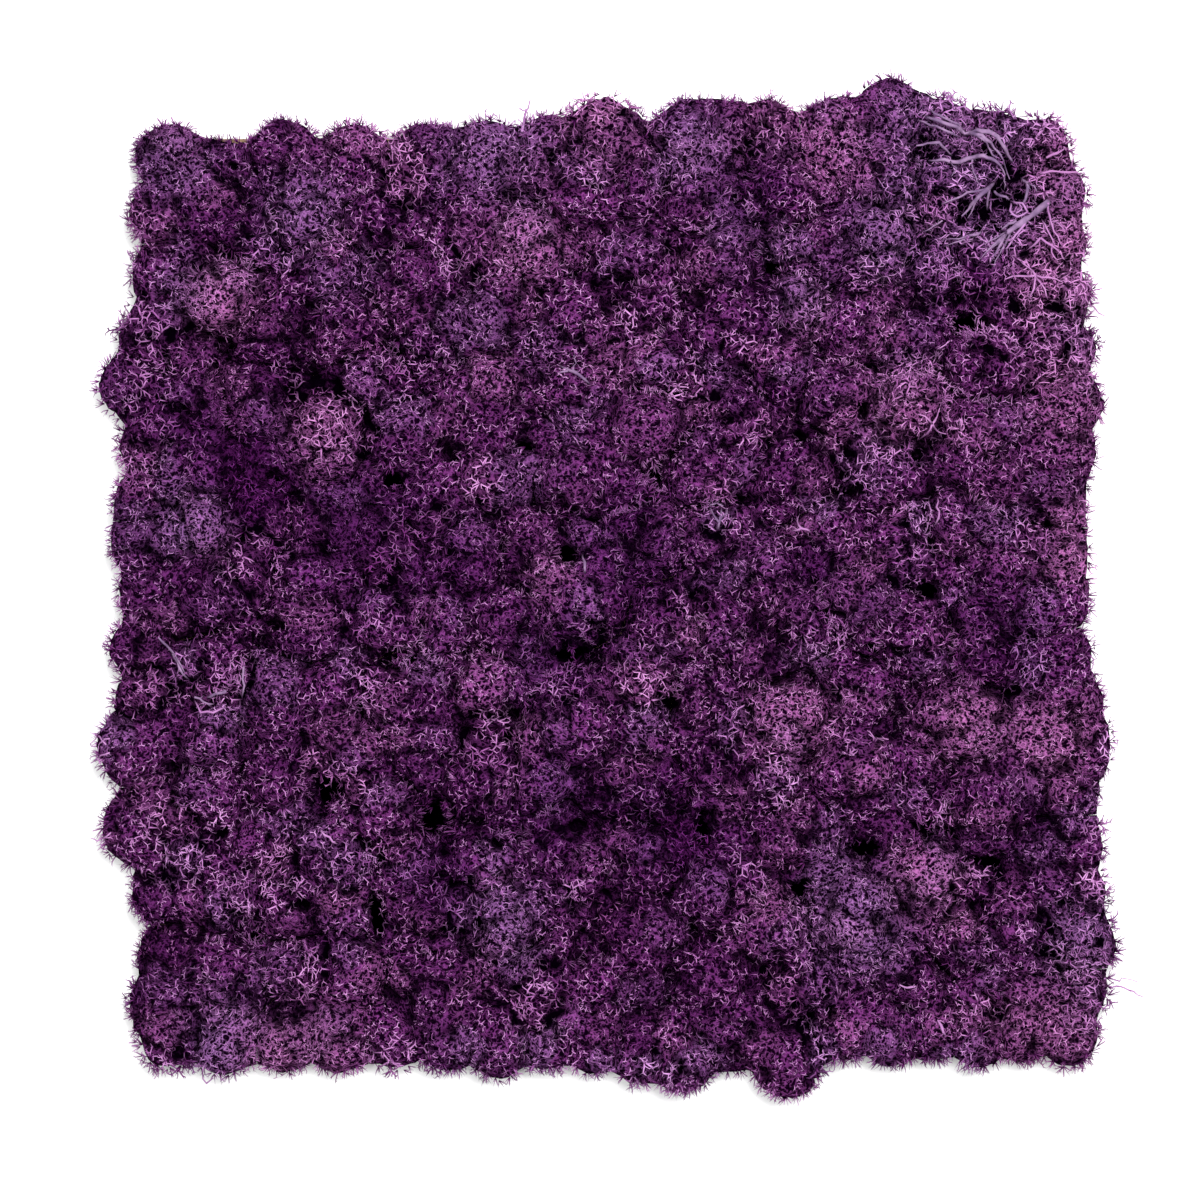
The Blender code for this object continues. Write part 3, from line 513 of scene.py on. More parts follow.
class Paint(Graph):
    """A material's graph, ending in one Principled shader."""

    def __init__(self, name):
        self.material = bpy.data.materials.new(name)
        self.material.use_nodes = True
        super().__init__(self.material.node_tree)
        self.shader = self.tree.nodes["Principled BSDF"]
        self.place = self.node("ShaderNodeTexCoord").outputs["Object"]

    def noise(self, scale, detail=3, roughness=0.5, offset=(0, 0, 0)):
        moved = self.node("ShaderNodeMapping", {}, {"Vector": self.place, "Location": offset})
        inputs = {"Vector": moved.outputs[0], "Scale": scale, "Detail": detail, "Roughness": roughness}
        return self.term("ShaderNodeTexNoise", {}, inputs)

    def attribute(self, name):
        return self.term("ShaderNodeAttribute", {"attribute_name": name}, output="Fac")

    def mixed(self, factor, first, second):
        inputs = {0: factor, 6: first, 7: second}
        return self.node("ShaderNodeMix", {"data_type": "RGBA"}, inputs).outputs[2]

    def set(self, **values):
        for name, value in values.items():
            self.feed(self.shader.inputs[name.replace("_", " ")], value)

    def bump(self, height, distance, strength=1.0):
        inputs = {"Height": height, "Distance": distance, "Strength": strength}
        self.feed(self.shader.inputs["Normal"], self.node("ShaderNodeBump", {}, inputs).outputs[0])


def rgb(red, green, blue):
    return (red, green, blue, 1)


# Materials

TIP = rgb(0.32, 0.09, 0.32)
TIP_PALE = rgb(0.56, 0.27, 0.56)
TIP_DULL = rgb(0.15, 0.022, 0.155)
MIDDLE = rgb(0.12, 0.013, 0.12)
# near-black painted shade: for the sprigs low in the moss, and in creases, gaps and pits
ROOT_SHADE = rgb(0.006, 0.0003, 0.008)
# black painted shade: for the felt's deep spots, and in creases, gaps and pits
SHADE_BLACK = rgb(0.001, 0.0001, 0.0015)
LAVENDER = rgb(0.34, 0.17, 0.42)
PINK = rgb(0.50, 0.17, 0.42)
DEEP = rgb(0.10, 0.014, 0.13)
FELT_LIGHT = rgb(0.165, 0.032, 0.165)
FELT_DULL = rgb(0.05, 0.006, 0.055)
# near-black painted shade between the felt's threads
FELT_SHADE = rgb(0.004, 0.0002, 0.005)
STALK_LIGHT = rgb(0.27, 0.165, 0.29)
STALK_DARK = rgb(0.12, 0.07, 0.145)
BOARD_LIGHT = rgb(0.30, 0.19, 0.11)
BOARD_DARK = rgb(0.20, 0.12, 0.065)
BOARD_FLECK = rgb(0.10, 0.055, 0.03)
FLOOR_LIGHT = rgb(0.93, 0.93, 0.93)
FLOOR_DARK = rgb(0.90, 0.90, 0.90)


def tinted(paint, colour):
    """A light colour of the moss, changed as its clump and its patch have it."""
    clump = paint.attribute("clump")
    colour = paint.mixed(clump.above(0.6, 1.0) * 0.3, colour, LAVENDER)
    colour = paint.mixed((0.4 - clump).above(0.0, 0.4) * 0.3, colour, PINK)
    colour = paint.mixed(paint.attribute("lavender") * 0.42, colour, LAVENDER)
    colour = paint.mixed(paint.attribute("pink") * 0.4, colour, PINK)
    return paint.mixed(paint.attribute("deep") * 0.5, colour, DEEP)


def moss_material():
    paint = Paint("dyed_moss_branchlets")
    height = paint.attribute("height")
    tone = paint.attribute("tone")
    pale = paint.attribute("pale")
    fine = paint.noise(120, 3, 0.6, (3, 1, 7)).above(0.3, 0.7)
    tip = paint.mixed(pale.above(0.2, 0.75), TIP_DULL, TIP)
    tip = paint.mixed(pale * 1.3 - 0.75 + tone * 0.6 + fine * 0.25, tip, TIP_PALE)
    tip = tinted(paint, tip)
    # painted shade: each sprig near-black at its root, deep in the moss, and lighter up towards its tips
    colour = paint.mixed(height.above(0.0, 0.4), ROOT_SHADE, MIDDLE)
    # painted light on the upper parts, more for sprigs of higher tone; tone is random, but low-toned sprigs
    # also stand lower, so it is partly painted shade
    lit = height.above(0.2, 0.75) * (0.4 + tone * 0.8).smaller(1)
    colour = paint.mixed(lit, colour, tip)
    # painted shade in the creases and gaps between clumps and in the pits
    colour = paint.mixed(paint.attribute("painted_hollow_shade") * 0.85, colour, ROOT_SHADE)
    bare = paint.mixed(fine, STALK_DARK, STALK_LIGHT)
    colour = paint.mixed(paint.attribute("stalk"), colour, bare)
    paint.set(Base_Color=colour, Roughness=0.8, Specular_IOR_Level=0.02)
    return paint.material


def felt_material():
    """The matted moss between the sprigs: curled threads, seen as light lines over a near-black ground of
    painted shade, with black spots of painted shade.
    """
    paint = Paint("dyed_moss_felt")
    wide = paint.noise(230, 1.5)
    narrow = paint.noise(400, 1.5, 0.5, (5, 2, 9))
    threads = (1 - ((wide - 0.5) * 14).size()).above(0, 1)
    threads = threads.larger((1 - ((narrow - 0.5) * 10).size()).above(0, 1) * 0.7)
    # painted shade: black spots where one looks deep into the moss
    shade_holes = paint.noise(330, 2, 0.6, (7, 7, 1)).above(0.36, 0.5)
    light = paint.mixed(paint.attribute("pale").above(0.2, 0.9), FELT_DULL, tinted(paint, FELT_LIGHT))
    colour = paint.mixed(threads * (shade_holes * 0.8 + 0.2), FELT_SHADE, light)
    colour = paint.mixed((1 - shade_holes) * 0.7, colour, SHADE_BLACK)
    # painted shade: black in the creases, gaps and pits, and a little darker where coarse sprigs grow
    dark = paint.attribute("painted_hollow_shade") * 0.9 + paint.attribute("coarse") * 0.3
    colour = paint.mixed(dark.smaller(1), colour, SHADE_BLACK)
    paint.set(Base_Color=colour, Roughness=0.9, Specular_IOR_Level=0)
    paint.bump(threads, 0.8 * MM, 0.7)
    return paint.material


def board_material():
    paint = Paint("fibreboard_brown")
    cloud = paint.noise(60, 5, 0.6)
    flecks = paint.noise(900, 2, 0.7)
    colour = paint.mixed(cloud.above(0.3, 0.7), BOARD_DARK, BOARD_LIGHT)
    colour = paint.mixed(flecks.above(0.55, 0.8) * 0.6, colour, BOARD_FLECK)
    paint.set(Base_Color=colour, Roughness=0.82)
    paint.bump(flecks + cloud * 0.5, 0.2 * MM, 0.5)
    return paint.material


def floor_material():
    paint = Paint("studio_floor")
    shade = paint.noise(1.5, 1)
    paint.set(Base_Color=paint.mixed(shade, FLOOR_DARK, FLOOR_LIGHT), Roughness=0.9)
    return paint.material


# Tubes: branchlets and stalks


class Growth:
    """Branching tubes gathered into one mesh, each vertex with its height from root to tip."""

    def __init__(self):
        self.verts = []
        self.faces = []
        self.heights = []

    def tube(self, path, radii, heights, sides=3):
        """A closed tube along a path; it ends in a point where the last radius is 0."""
        rings = []
        across = None
        for i, (point, radius, height) in enumerate(zip(path, radii, heights)):
            ahead = path[min(i + 1, len(path) - 1)] - path[max(i - 1, 0)]
            ahead.normalize()
            if across is None:
                across = ahead.orthogonal().normalized()
            across = (across - ahead * across.dot(ahead)).normalized()
            beside = ahead.cross(across)
            if radius == 0:
                rings.append([len(self.verts)])
                self.verts.append(point)
                self.heights.append(height)
                continue
            rings.append(list(range(len(self.verts), len(self.verts) + sides)))
            for k in range(sides):
                angle = 2 * math.pi * k / sides
                self.verts.append(point + (across * math.cos(angle) + beside * math.sin(angle)) * radius)
                self.heights.append(height)
        self.faces.append(tuple(reversed(rings[0])))
        for low, high in zip(rings, rings[1:]):
            for k in range(sides):
                j = (k + 1) % sides
                if len(high) == 1:
                    self.faces.append((low[k], low[j], high[0]))
                else:
                    self.faces.append((low[k], low[j], high[j], high[k]))
        if len(rings[-1]) > 1:
            self.faces.append(tuple(rings[-1]))

    def mesh(self, name, material=None):
        data = bpy.data.meshes.new(name)
        data.from_pydata(self.verts, [], self.faces)
        data.materials.append(material)
        data.shade_smooth()
        write(data, "height", self.heights)
        return data


def write(data, name, values):
    """Keeps one number a vertex under a name."""
    layer = data.attributes.get(name) or data.attributes.new(name, "FLOAT", "POINT")
    layer.data.foreach_set("value", np.asarray(values, dtype=np.float32))


def around(angle, radius, height):
    """A step out from the middle in a direction, and up."""
    return Vector((math.cos(angle) * radius, math.sin(angle) * radius, height))


def grow_sprig(material, rng, twigs, reach, depth, thick, curl, shoots, hairs):
    """A forked sprig that lies about level: twigs that curl over, bent shoots, fine straight hairs.

    The tips are near height 0 and the root is at -depth. Shoots leave a twig at its bend and at its
    knee in turn; a twig with less than two of them has no knee.
    """
    growth = Growth()
    start = rng.uniform(0, 2 * math.pi)
    root = Vector((0, 0, -depth))
    for i in range(twigs):
        angle = start + 2 * math.pi * (i + rng.uniform(-0.3, 0.3)) / twigs
        side = rng.choice((-1, 1))
        knee = around(angle, reach * rng.uniform(0.10, 0.20), -depth * rng.uniform(0.25, 0.45))
        turn = angle + side * rng.uniform(-0.1, 0.5) * curl
        bend = knee + around(turn, reach * rng.uniform(0.28, 0.42), depth * rng.uniform(0.12, 0.26))
        turn = angle + side * rng.uniform(0.7, 1.5) * curl
        end = bend + around(turn, reach * rng.uniform(0.28, 0.42), depth * rng.uniform(-0.08, 0.12))
        path = [root, knee, bend, end]
        radii = [thick, thick * 0.9, thick * 0.75, 0]
        heights = [0, 0.6, 0.9, 1]
        if shoots < 2:
            del path[1], radii[1], heights[1]
        growth.tube(lowered(path, depth), radii, heights)
        for k in range(shoots):
            base, height = ((bend, 0.9), (knee, 0.6))[k % 2]
            turn = angle - side * rng.uniform(0.4, 1.3)
            step = reach * rng.uniform(0.20, 0.34)
            elbow = base + around(turn, step, depth * rng.uniform(-0.02, 0.16))
            turn += rng.choice((-1, 1)) * rng.uniform(0.6, 1.5) * curl
            end = elbow + around(turn, step * rng.uniform(0.6, 1.1), depth * rng.uniform(-0.06, 0.10))
            path = lowered([base, elbow, end], depth)
            growth.tube(path, [thick * 0.7, thick * 0.6, 0], [height, 0.95, 1])
        for k in range(hairs):
            base, height, radius = ((bend, 0.9, 0.7), (knee, 0.6, 0.8))[k % 2]
            turn = angle + rng.uniform(-2.4, 2.4)
            rise = rng.uniform(0.0, 0.2) if k % 2 == 0 else rng.uniform(0.2, 0.4)
            end = base + around(turn, reach * rng.uniform(0.20, 0.36), depth * rise)
            growth.tube(lowered([base, end], depth), [thick * radius, 0], [height, 1])
    return growth.mesh("sprig", material)


def grow_bush(material, rng, twigs, spikes, reach, rise, thick):
    """A little bush that stands out from the rim: bent twigs and straight spikes from one root."""
    growth = Growth()
    root = Vector((0, 0, -BUSH_ROOT))
    for i in range(twigs + spikes):
        angle = 2 * math.pi * (i * 0.38 + rng.uniform(-0.1, 0.1))
        end = around(angle, reach * rng.uniform(0.35, 1.0), rise * rng.uniform(0.3, 1.0))
        if i < twigs:
            bend = root.lerp(end, 0.7) + around(angle + 1.6, reach * rng.uniform(-0.2, 0.2), 0)
            growth.tube([root, bend, end], [thick, thick * 0.8, 0], [0.1, 0.7, 1])
            fork = bend + around(angle + rng.uniform(-1.4, 1.4), reach * 0.4, rise * rng.uniform(0, 0.3))
            growth.tube([bend, fork], [thick * 0.7, 0], [0.7, 1])
        else:
            growth.tube([root, end], [thick, 0], [0.1, 1])
    return growth.mesh("bush", material)


def lowered(path, depth):
    """The path with nothing of it above the level of the tips."""
    return [Vector((point.x, point.y, min(point.z, 0.06 * depth))) for point in path]


def sprig_collection(name, grow, material, count, seed, **shape):
    rng = random.Random(seed)
    collection = bpy.data.collections.new(name)
    for i in range(count):
        sprig = bpy.data.objects.new(f"{name}_{i}", grow(material, rng, **shape))
        collection.objects.link(sprig)
    return collection


# Growth over a tuft


def growth_tree(name, kinds, branchlets, felt):
    """Geometry nodes that lay a tuft's felt under its bed and plant sprigs in it.

    The bed is the level of the tips. Its vertices say which way is inward, how far they face sideways,
    and how much grows there.
    """
    tree = bpy.data.node_groups.new(name, "GeometryNodeTree")
    graph = Graph(tree)
    tree.interface.new_socket(name="Bed", in_out="INPUT", socket_type="NodeSocketGeometry")
    numbers = [("Felt depth", FELT_DEPTH), ("Size", 1.0)]
    numbers += [(f"{kind} spacing", spacing) for kind, (made, spacing) in kinds.items()]
    for label, value in numbers:
        socket = tree.interface.new_socket(name=label, in_out="INPUT", socket_type="NodeSocketFloat")
        socket.default_value = value
    tree.interface.new_socket(name="Seed", in_out="INPUT", socket_type="NodeSocketInt")
    tree.interface.new_socket(name="Tuft", in_out="OUTPUT", socket_type="NodeSocketGeometry")
    given = graph.node("NodeGroupInput").outputs

    inward = graph.node("GeometryNodeInputNamedAttribute", {"data_type": "FLOAT_VECTOR"}, {"Name": "inward"})
    laid = shifted(graph, given["Bed"], inward.outputs[0], given["Felt depth"])
    parts = [covered(graph, laid, felt)]
    for salt, (kind, (collection, spacing)) in enumerate(kinds.items()):
        seed = Term(graph, given["Seed"]) * 10 + salt * 1000
        parts.append(covered(graph, planted(graph, given, kind, collection, seed), branchlets))
    joined = graph.node("GeometryNodeJoinGeometry")
    for part in reversed(parts):
        tree.links.new(part, joined.inputs[0])
    graph.node("NodeGroupOutput", {}, {"Tuft": joined.outputs[0]})
    return tree


def planted(graph, given, kind, collection, seed):
    """Sprigs of one kind all over the bed. On the sides they lean more and stand out further."""
    inputs = {
        "Mesh": given["Bed"], "Distance Min": given[f"{kind} spacing"], "Density Max": DENSEST,
        "Density Factor": named(graph, kind), "Seed": seed,
    }
    spread = graph.node("GeometryNodeDistributePointsOnFaces", {"distribute_method": "POISSON"}, inputs)
    outward = named(graph, "outward")
    turn = random_value(graph, "FLOAT_VECTOR", (-LEAN, -LEAN, 0), (LEAN, LEAN, WHOLE_TURN), seed + 1)
    lean = graph.node("ShaderNodeCombineXYZ", {}, {0: outward * 1.5 + 1, 1: outward * 1.5 + 1, 2: 1.0})
    inputs = {0: turn, 1: lean.outputs[0]}
    turn = graph.node("ShaderNodeVectorMath", {"operation": "MULTIPLY"}, inputs).outputs[0]
    spin = graph.node("FunctionNodeEulerToRotation", {}, {0: turn}).outputs[0]
    inputs = {"Rotation": spread.outputs["Rotation"], "Rotate By": spin}
    rotation = graph.node("FunctionNodeRotateRotation", {"rotation_space": "LOCAL"}, inputs).outputs[0]
    size = Term(graph, random_value(graph, "FLOAT", 0.8, 1.2, seed + 2)) * given["Size"]

    tone = random_value(graph, "FLOAT", 0.0, 1.0, seed + 3)
    inputs = {"Geometry": spread.outputs["Points"], "Name": "tone", "Value": tone}
    points = graph.node("GeometryNodeStoreNamedAttribute", {"data_type": "FLOAT"}, inputs).outputs[0]
    # low-toned sprigs stand lower, and the material paints them darker: partly painted shade
    depth = (1 - Term(graph, tone)) * (-SUNKEN) * (1 - outward) + 0.2 * MM
    points = shifted(graph, points, spread.outputs["Normal"], depth)

    inputs = {"Collection": collection, "Separate Children": True, "Reset Children": True}
    sprigs = graph.node("GeometryNodeCollectionInfo", {}, inputs).outputs[0]
    inputs = {
        "Points": points, "Instance": sprigs, "Pick Instance": True, "Rotation": rotation, "Scale": size,
    }
    placed = graph.node("GeometryNodeInstanceOnPoints", {}, inputs).outputs[0]
    return graph.node("GeometryNodeRealizeInstances", {}, {0: placed}).outputs[0]


def shifted(graph, geometry, direction, distance):
    """The geometry, moved along a direction that each of its points has."""
    inputs = {0: direction, "Scale": distance}
    offset = graph.node("ShaderNodeVectorMath", {"operation": "SCALE"}, inputs).outputs[0]
    return graph.node("GeometryNodeSetPosition", {}, {"Geometry": geometry, "Offset": offset}).outputs[0]


def covered(graph, geometry, material):
    inputs = {"Geometry": geometry, "Material": material}
    return graph.node("GeometryNodeSetMaterial", {}, inputs).outputs[0]


def named(graph, name):
    """A number that the bed's vertices carry."""
    return graph.term("GeometryNodeInputNamedAttribute", {"data_type": "FLOAT"}, {"Name": name})


def random_value(graph, kind, low, high, seed):
    """A number or a vector for each point, at random between two."""
    at, out = {"FLOAT_VECTOR": (0, 0), "FLOAT": (2, 1)}[kind]
    inputs = {at: low, at + 1: high, "Seed": seed}
    return graph.node("FunctionNodeRandomValue", {"data_type": kind}, inputs).outputs[out]


# How the moss lies, and the stalks on it


def patches(points, places):
    """How far each point lies in any of the round patches, from 0 to 1."""
    amount = np.zeros(len(points))
    for px, py, radius in places:
        middle = spot(px, py)
        away = np.hypot(points[:, 0] - middle.x, points[:, 1] - middle.y) / (radius * PIXEL)
        amount = np.maximum(amount, np.clip(1.6 - away * 1.1, 0, 1))
    return amount


def pit_at(point, margin=0.0):
    """1 in the middle of a pit, 0 from its ragged rim outwards."""
    ragged = noise.noise(point / PIT_RAGS) * 0.45 + 0.12 - margin
    deepest = 0
    for px, py, half_wide, half_high in PITS:
        away = point - spot(px, py)
        if abs(away.x) > PIT_REACH or abs(away.y) > PIT_REACH:
            continue
        span = math.hypot(away.x / (half_wide * PIXEL), away.y / (half_high * PIXEL)) + ragged
        deepest = max(deepest, min(1, max(0, (1.25 - span) / 0.5)))
    return deepest


def waves(points, size, seed):
    """Smooth unevenness over the mat, mostly between -1 and 1, with bumps about a size apart."""
    rng = random.Random(seed)
    total = np.zeros(len(points))
    for _ in range(7):
        angle = rng.uniform(0, 2 * math.pi)
        across = points[:, 0] * math.cos(angle) + points[:, 1] * math.sin(angle)
        total += np.sin(across * 2 * math.pi / (size * rng.uniform(0.7, 1.6)) + rng.uniform(0, 6.28))
    return total / 3.2


def clumps_at(points):
    """For points over the mat: how far down the moss lies, how dark (painted shade in creases, gaps and down
    the domes' flanks), how pale, and which clump.
    """
    low, high = points.min(axis=0) - CLUMP_NEARBY, points.max(axis=0) + CLUMP_NEARBY
    nearby = []
    for number, (px, py, wide, tall, pale) in enumerate(CLUMPS):
        place = spot(px, py)
        if low[0] < place.x < high[0] and low[1] < place.y < high[1]:
            nearby.append((place.x, place.y, wide * PIXEL, tall * PIXEL, pale / 10, number))
    if len(nearby) < 2:
        return [np.full(len(points), value) for value in (CLUMP_RELIEF, 0.3, 0.5, 0)]
    nearby = np.array(nearby)
    warped = points[:, :2] + np.stack([waves(points, 15 * MM, k) for k in (1, 2)], axis=1) * 2.4 * MM
    warped += np.stack([waves(points, 5 * MM, k) for k in (3, 4)], axis=1) * 0.9 * MM
    away = (warped[:, None] - nearby[:, :2]) / nearby[:, 2:4]
    away = np.hypot(away[:, :, 0], away[:, :, 1])
    order = np.argsort(away, axis=1)[:, :2]
    near, next_near = np.take_along_axis(away, order, axis=1).T

    weight = np.exp(-1.2 * away ** 2)
    pale = ((weight * nearby[:, 4]).sum(axis=1) + 0.02) / (weight.sum(axis=1) + 0.06)
    number = nearby[order, 5]

    # a crease between two clumps is deep or shallow, as their numbers have it
    strength = np.sin(number.sum(axis=1) * 1.7 + number.prod(axis=1) * 0.9) ** 2
    crease = np.exp(-(((next_near - near) / CREASE_WIDTH) ** 2)) * np.clip(near * 1.6 - 0.5, 0, 1) * strength
    dome = np.sqrt(1 - np.minimum(near / CLUMP_REACH, 1) ** 2)
    ragged = waves(points, 9 * MM, 5)
    gap = np.clip(near * 2.2 - 2.2 + crease * 0.5, 0, 1) * np.clip(ragged * 1.5 + 0.2, 0, 1)
    sunk = (1 - dome) * CLUMP_RELIEF + crease * CREASE_DEPTH + gap * GAP_DEPTH
    sunk += (waves(points, 7 * MM, 6) + 1) * 0.5 * MM + (0.8 - pale) * DULL_DEPTH
    # painted shade: darker in the gaps and creases between clumps and down the domes' flanks
    dark = np.clip(gap + crease * (1 + 0.4 * ragged) + (1 - dome) * 0.2, 0, 1)
    return np.maximum(sunk, 0), dark, pale, number[:, 0]


def height_over(point, forms):
    """The height of the tufts' forms under a point, or of what is near it where it is past the rim."""
    for reach in (0, 4, 8, 14):
        for k in range(8 if reach else 1):
            place = point + around(k * math.pi / 4, reach * MM, 0.2)
            hit = forms.ray_cast(place, Vector((0, 0, -1)))[0]
            if hit is not None and hit.z > LOWEST:
                return hit.z
    return PAST_RIM


def roughened(course, rng):
    """A stalk's course with a point between every two of its own, off line and uneven in width."""
    fuller = [course[0]]
    for (px, py, width), (next_px, next_py, next_width) in zip(course, course[1:]):
        middle_px = (px + next_px) / 2 + rng.uniform(-1.2, 1.2)
        middle_py = (py + next_py) / 2 + rng.uniform(-1.2, 1.2)
        fuller.append((middle_px, middle_py, (width + next_width) / 2 * rng.uniform(0.7, 1.25)))
        fuller.append((next_px, next_py, next_width))
    return fuller


def lay_stalks(tree_of_forms):
    """Every bared stalk as a tapering tube that lies on the moss, with the tuft that it starts on."""
    laid = []
    for look, courses in STALKS.items():
        for number, course in enumerate(courses):
            rng = random.Random(number)
            path, radii = [], []
            for px, py, width in roughened(course, rng):
                place = spot(px, py)
                sunk = clumps_at(np.array([place]))[0][0]
                place.z = height_over(place, tree_of_forms) - sunk + STALK_RISE
                place.z += rng.uniform(-0.5, 0.3) * MM
                path.append(place)
                radii.append(max(0.45, width / 2 * 0.8) * PIXEL)
            path[-1].z -= STALK_END_DROP
            stalk = Growth()
            stalk.tube(path, radii, [0.8] * len(path), 6)
            for k in range(1, len(path) - 1):
                ahead = path[k + 1] - path[k - 1]
                ahead.rotate(Euler((0, 0, rng.choice((-1, 1)) * rng.uniform(0.5, 1.2))))
                tip = path[k] + ahead.normalized() * rng.uniform(2, 7) * PIXEL
                tip.z += rng.uniform(-1.2, 0.2) * MM
                stalk.tube([path[k], tip], [radii[k] * 0.6, 0], [0.8, 0.9])
            laid.append((look, course[0], stalk))
    return laid


# A tuft's piece


def merged_copy(node):
    """A tuft's mesh with its loose triangles joined."""
    mesh = bmesh.new()
    mesh.from_mesh(node.data)
    bmesh.ops.remove_doubles(mesh, verts=mesh.verts, dist=0.001 * MM)
    return mesh


def is_hidden(face, neighbours):
    """Whether a face looks at the board or, close by, at another tuft."""
    if face.normal.z < -0.9:
        return True
    if face.normal.z > 0.25:
        return False
    start = face.calc_center_median() + face.normal * 0.05 * MM
    return neighbours.ray_cast(start, face.normal, NEXT_TUFT)[0] is not None


def split_long(mesh, longest, wanted):
    """Halves every wanted edge that is longer than the longest allowed."""
    edges = [edge for edge in mesh.edges if edge.calc_length() > longest and wanted(edge)]
    if edges:
        bmesh.ops.subdivide_edges(mesh, edges=edges, cuts=1)
        bmesh.ops.triangulate(mesh, faces=mesh.faces)


def split_creases(mesh, is_open):
    """Finer faces where two clumps meet."""
    edges = [edge for edge in mesh.edges if edge.calc_length() > CREASE_EDGE and is_open(edge)]
    middles = np.array([(edge.verts[0].co + edge.verts[1].co) / 2 for edge in edges])
    if len(middles) == 0:
        return
    chosen = [edge for edge, dark in zip(edges, clumps_at(middles)[1]) if dark > 0.45]
    bmesh.ops.subdivide_edges(mesh, edges=chosen, cuts=1)
    bmesh.ops.triangulate(mesh, faces=mesh.faces)


def refine(mesh, shut):
    """Makes the open faces of a tuft finer, finest by its pits, and rounds them off."""

    def is_open(edge):
        return not all(face[shut] for face in edge.link_faces)

    def is_by_pit(edge):
        return is_open(edge) and any(pit_at(vert.co, 0.3) > 0 for vert in edge.verts)

    for _ in range(4):
        split_long(mesh, EDGE, is_open)
    split_creases(mesh, is_open)
    for _ in range(2):
        split_long(mesh, PIT_EDGE, is_by_pit)
    open_verts = [vert for vert in mesh.verts if not any(face[shut] for face in vert.link_faces)]
    for _ in range(4):
        bmesh.ops.smooth_vert(mesh, verts=open_verts, factor=0.5, use_axis_x=True, use_axis_y=True,
                              use_axis_z=True)
    mesh.normal_update()


def inward_from(vert, shut):
    """Which way the heart of the tuft is, or None at a vertex that no open face meets."""
    open_faces = [face for face in vert.link_faces if not face[shut]]
    if not open_faces:
        return None
    if len(open_faces) < len(vert.link_faces):
        return Vector((0, 0, -1))
    return -sum((face.normal * face.calc_area() for face in open_faces), Vector()).normalized()


def make_bed(name, node, neighbours):
    """A finer, rounded copy of a tuft that says at each vertex which way is inward and what grows."""
    mesh = merged_copy(node)
    shut = mesh.faces.layers.int.new("shut")
    for face in mesh.faces:
        face[shut] = is_hidden(face, neighbours)
    refine(mesh, shut)

    inward = mesh.verts.layers.float_vector.new("inward")
    keys = ("fringe", "fine", "medium", "coarse", "pit", "outward")
    layers = {key: mesh.verts.layers.float.new(key) for key in keys}
    places = np.array([vert.co for vert in mesh.verts])
    coarse_at = patches(places, COARSE)
    fine_at = patches(places, FINE)
    clump_of = clumps_at(places)[3]
    moves = []
    for i, vert in enumerate(mesh.verts):
        inner = inward_from(vert, shut)
        if inner is None:
            vert[inward] = (0, 0, 0)
            continue
        upward = min(1, max(0, -inner.z * 1.6))
        pit = pit_at(vert.co) if inner.z < -0.3 else 0
        move = -inner * RIM_SWELL * (1 - upward)
        if upward > 0.5:
            move.z += max(0, PIT_LEVEL - vert.co.z) * (1 - pit)
        move.z -= PIT_DROP * pit
        moves.append((vert, move))

        own = (clump_of[i] * KIND_STEP) % 1
        coarse = max(coarse_at[i], 1.0 if own > COARSE_ABOVE else 0.0) * (1 - fine_at[i])
        fine = max(fine_at[i], 1.0 if own < FINE_BELOW else 0.0) * (1 - coarse)
        vert[inward] = inner * (1 + 0.5 * coarse - 0.3 * fine)
        vert[layers["pit"]] = pit
        vert[layers["outward"]] = 1 - upward

        growth = 0 if pit > 0.85 or inner.z > 0.3 else 1
        growth *= 0.35 if vert.co.z < LOW_RIM and upward < 0.6 else 1
        vert[layers["fringe"]] = growth * min(1, max(0, 1.4 - 2 * upward))
        vert[layers["fine"]] = growth * fine * (0.3 + 0.7 * upward)
        vert[layers["medium"]] = growth * (1 - fine) * (1 - 0.5 * coarse) * (0.3 + 0.7 * upward)
        vert[layers["coarse"]] = growth * coarse * (0.5 + 0.5 * upward)
    for vert, move in moves:
        vert.co += move
        vert.co.z = max(vert.co.z, LOWEST)
    data = bpy.data.meshes.new(name + "_bed")
    mesh.to_mesh(data)
    mesh.free()
    data.shade_smooth()
    bed = bpy.data.objects.new(name + "_bed", data)
    bpy.context.scene.collection.objects.link(bed)
    return bed


def nearest_tuft(place, boxes):
    """The tuft whose middle is nearest to a place."""
    middles = {name: (Vector(box[0]) + Vector(box[1])) / 2 for name, box in boxes.items()}
    return min(middles, key=lambda name: (middles[name].xy - place.xy).length)


def add_stalks(data, stalks):
    """Joins a tuft's stalks into its mesh."""
    mesh = bmesh.new()
    mesh.from_mesh(data)
    number = list(data.materials.keys()).index("dyed_moss_branchlets")
    for look, stalk in stalks:
        loose = stalk.mesh("stalk")
        bare = 1.0 if look == "grey" else 0.35
        for key, value in (("stalk", bare), ("tone", 0.6), ("clump", 0.5), ("pale", 0.7)):
            write(loose, key, [value] * len(stalk.verts))
        first = len(mesh.faces)
        mesh.from_mesh(loose)
        mesh.faces.ensure_lookup_table()
        for face in mesh.faces[first:]:
            face.material_index = number
            face.smooth = True
        bpy.data.meshes.remove(loose)
    mesh.to_mesh(data)
    mesh.free()


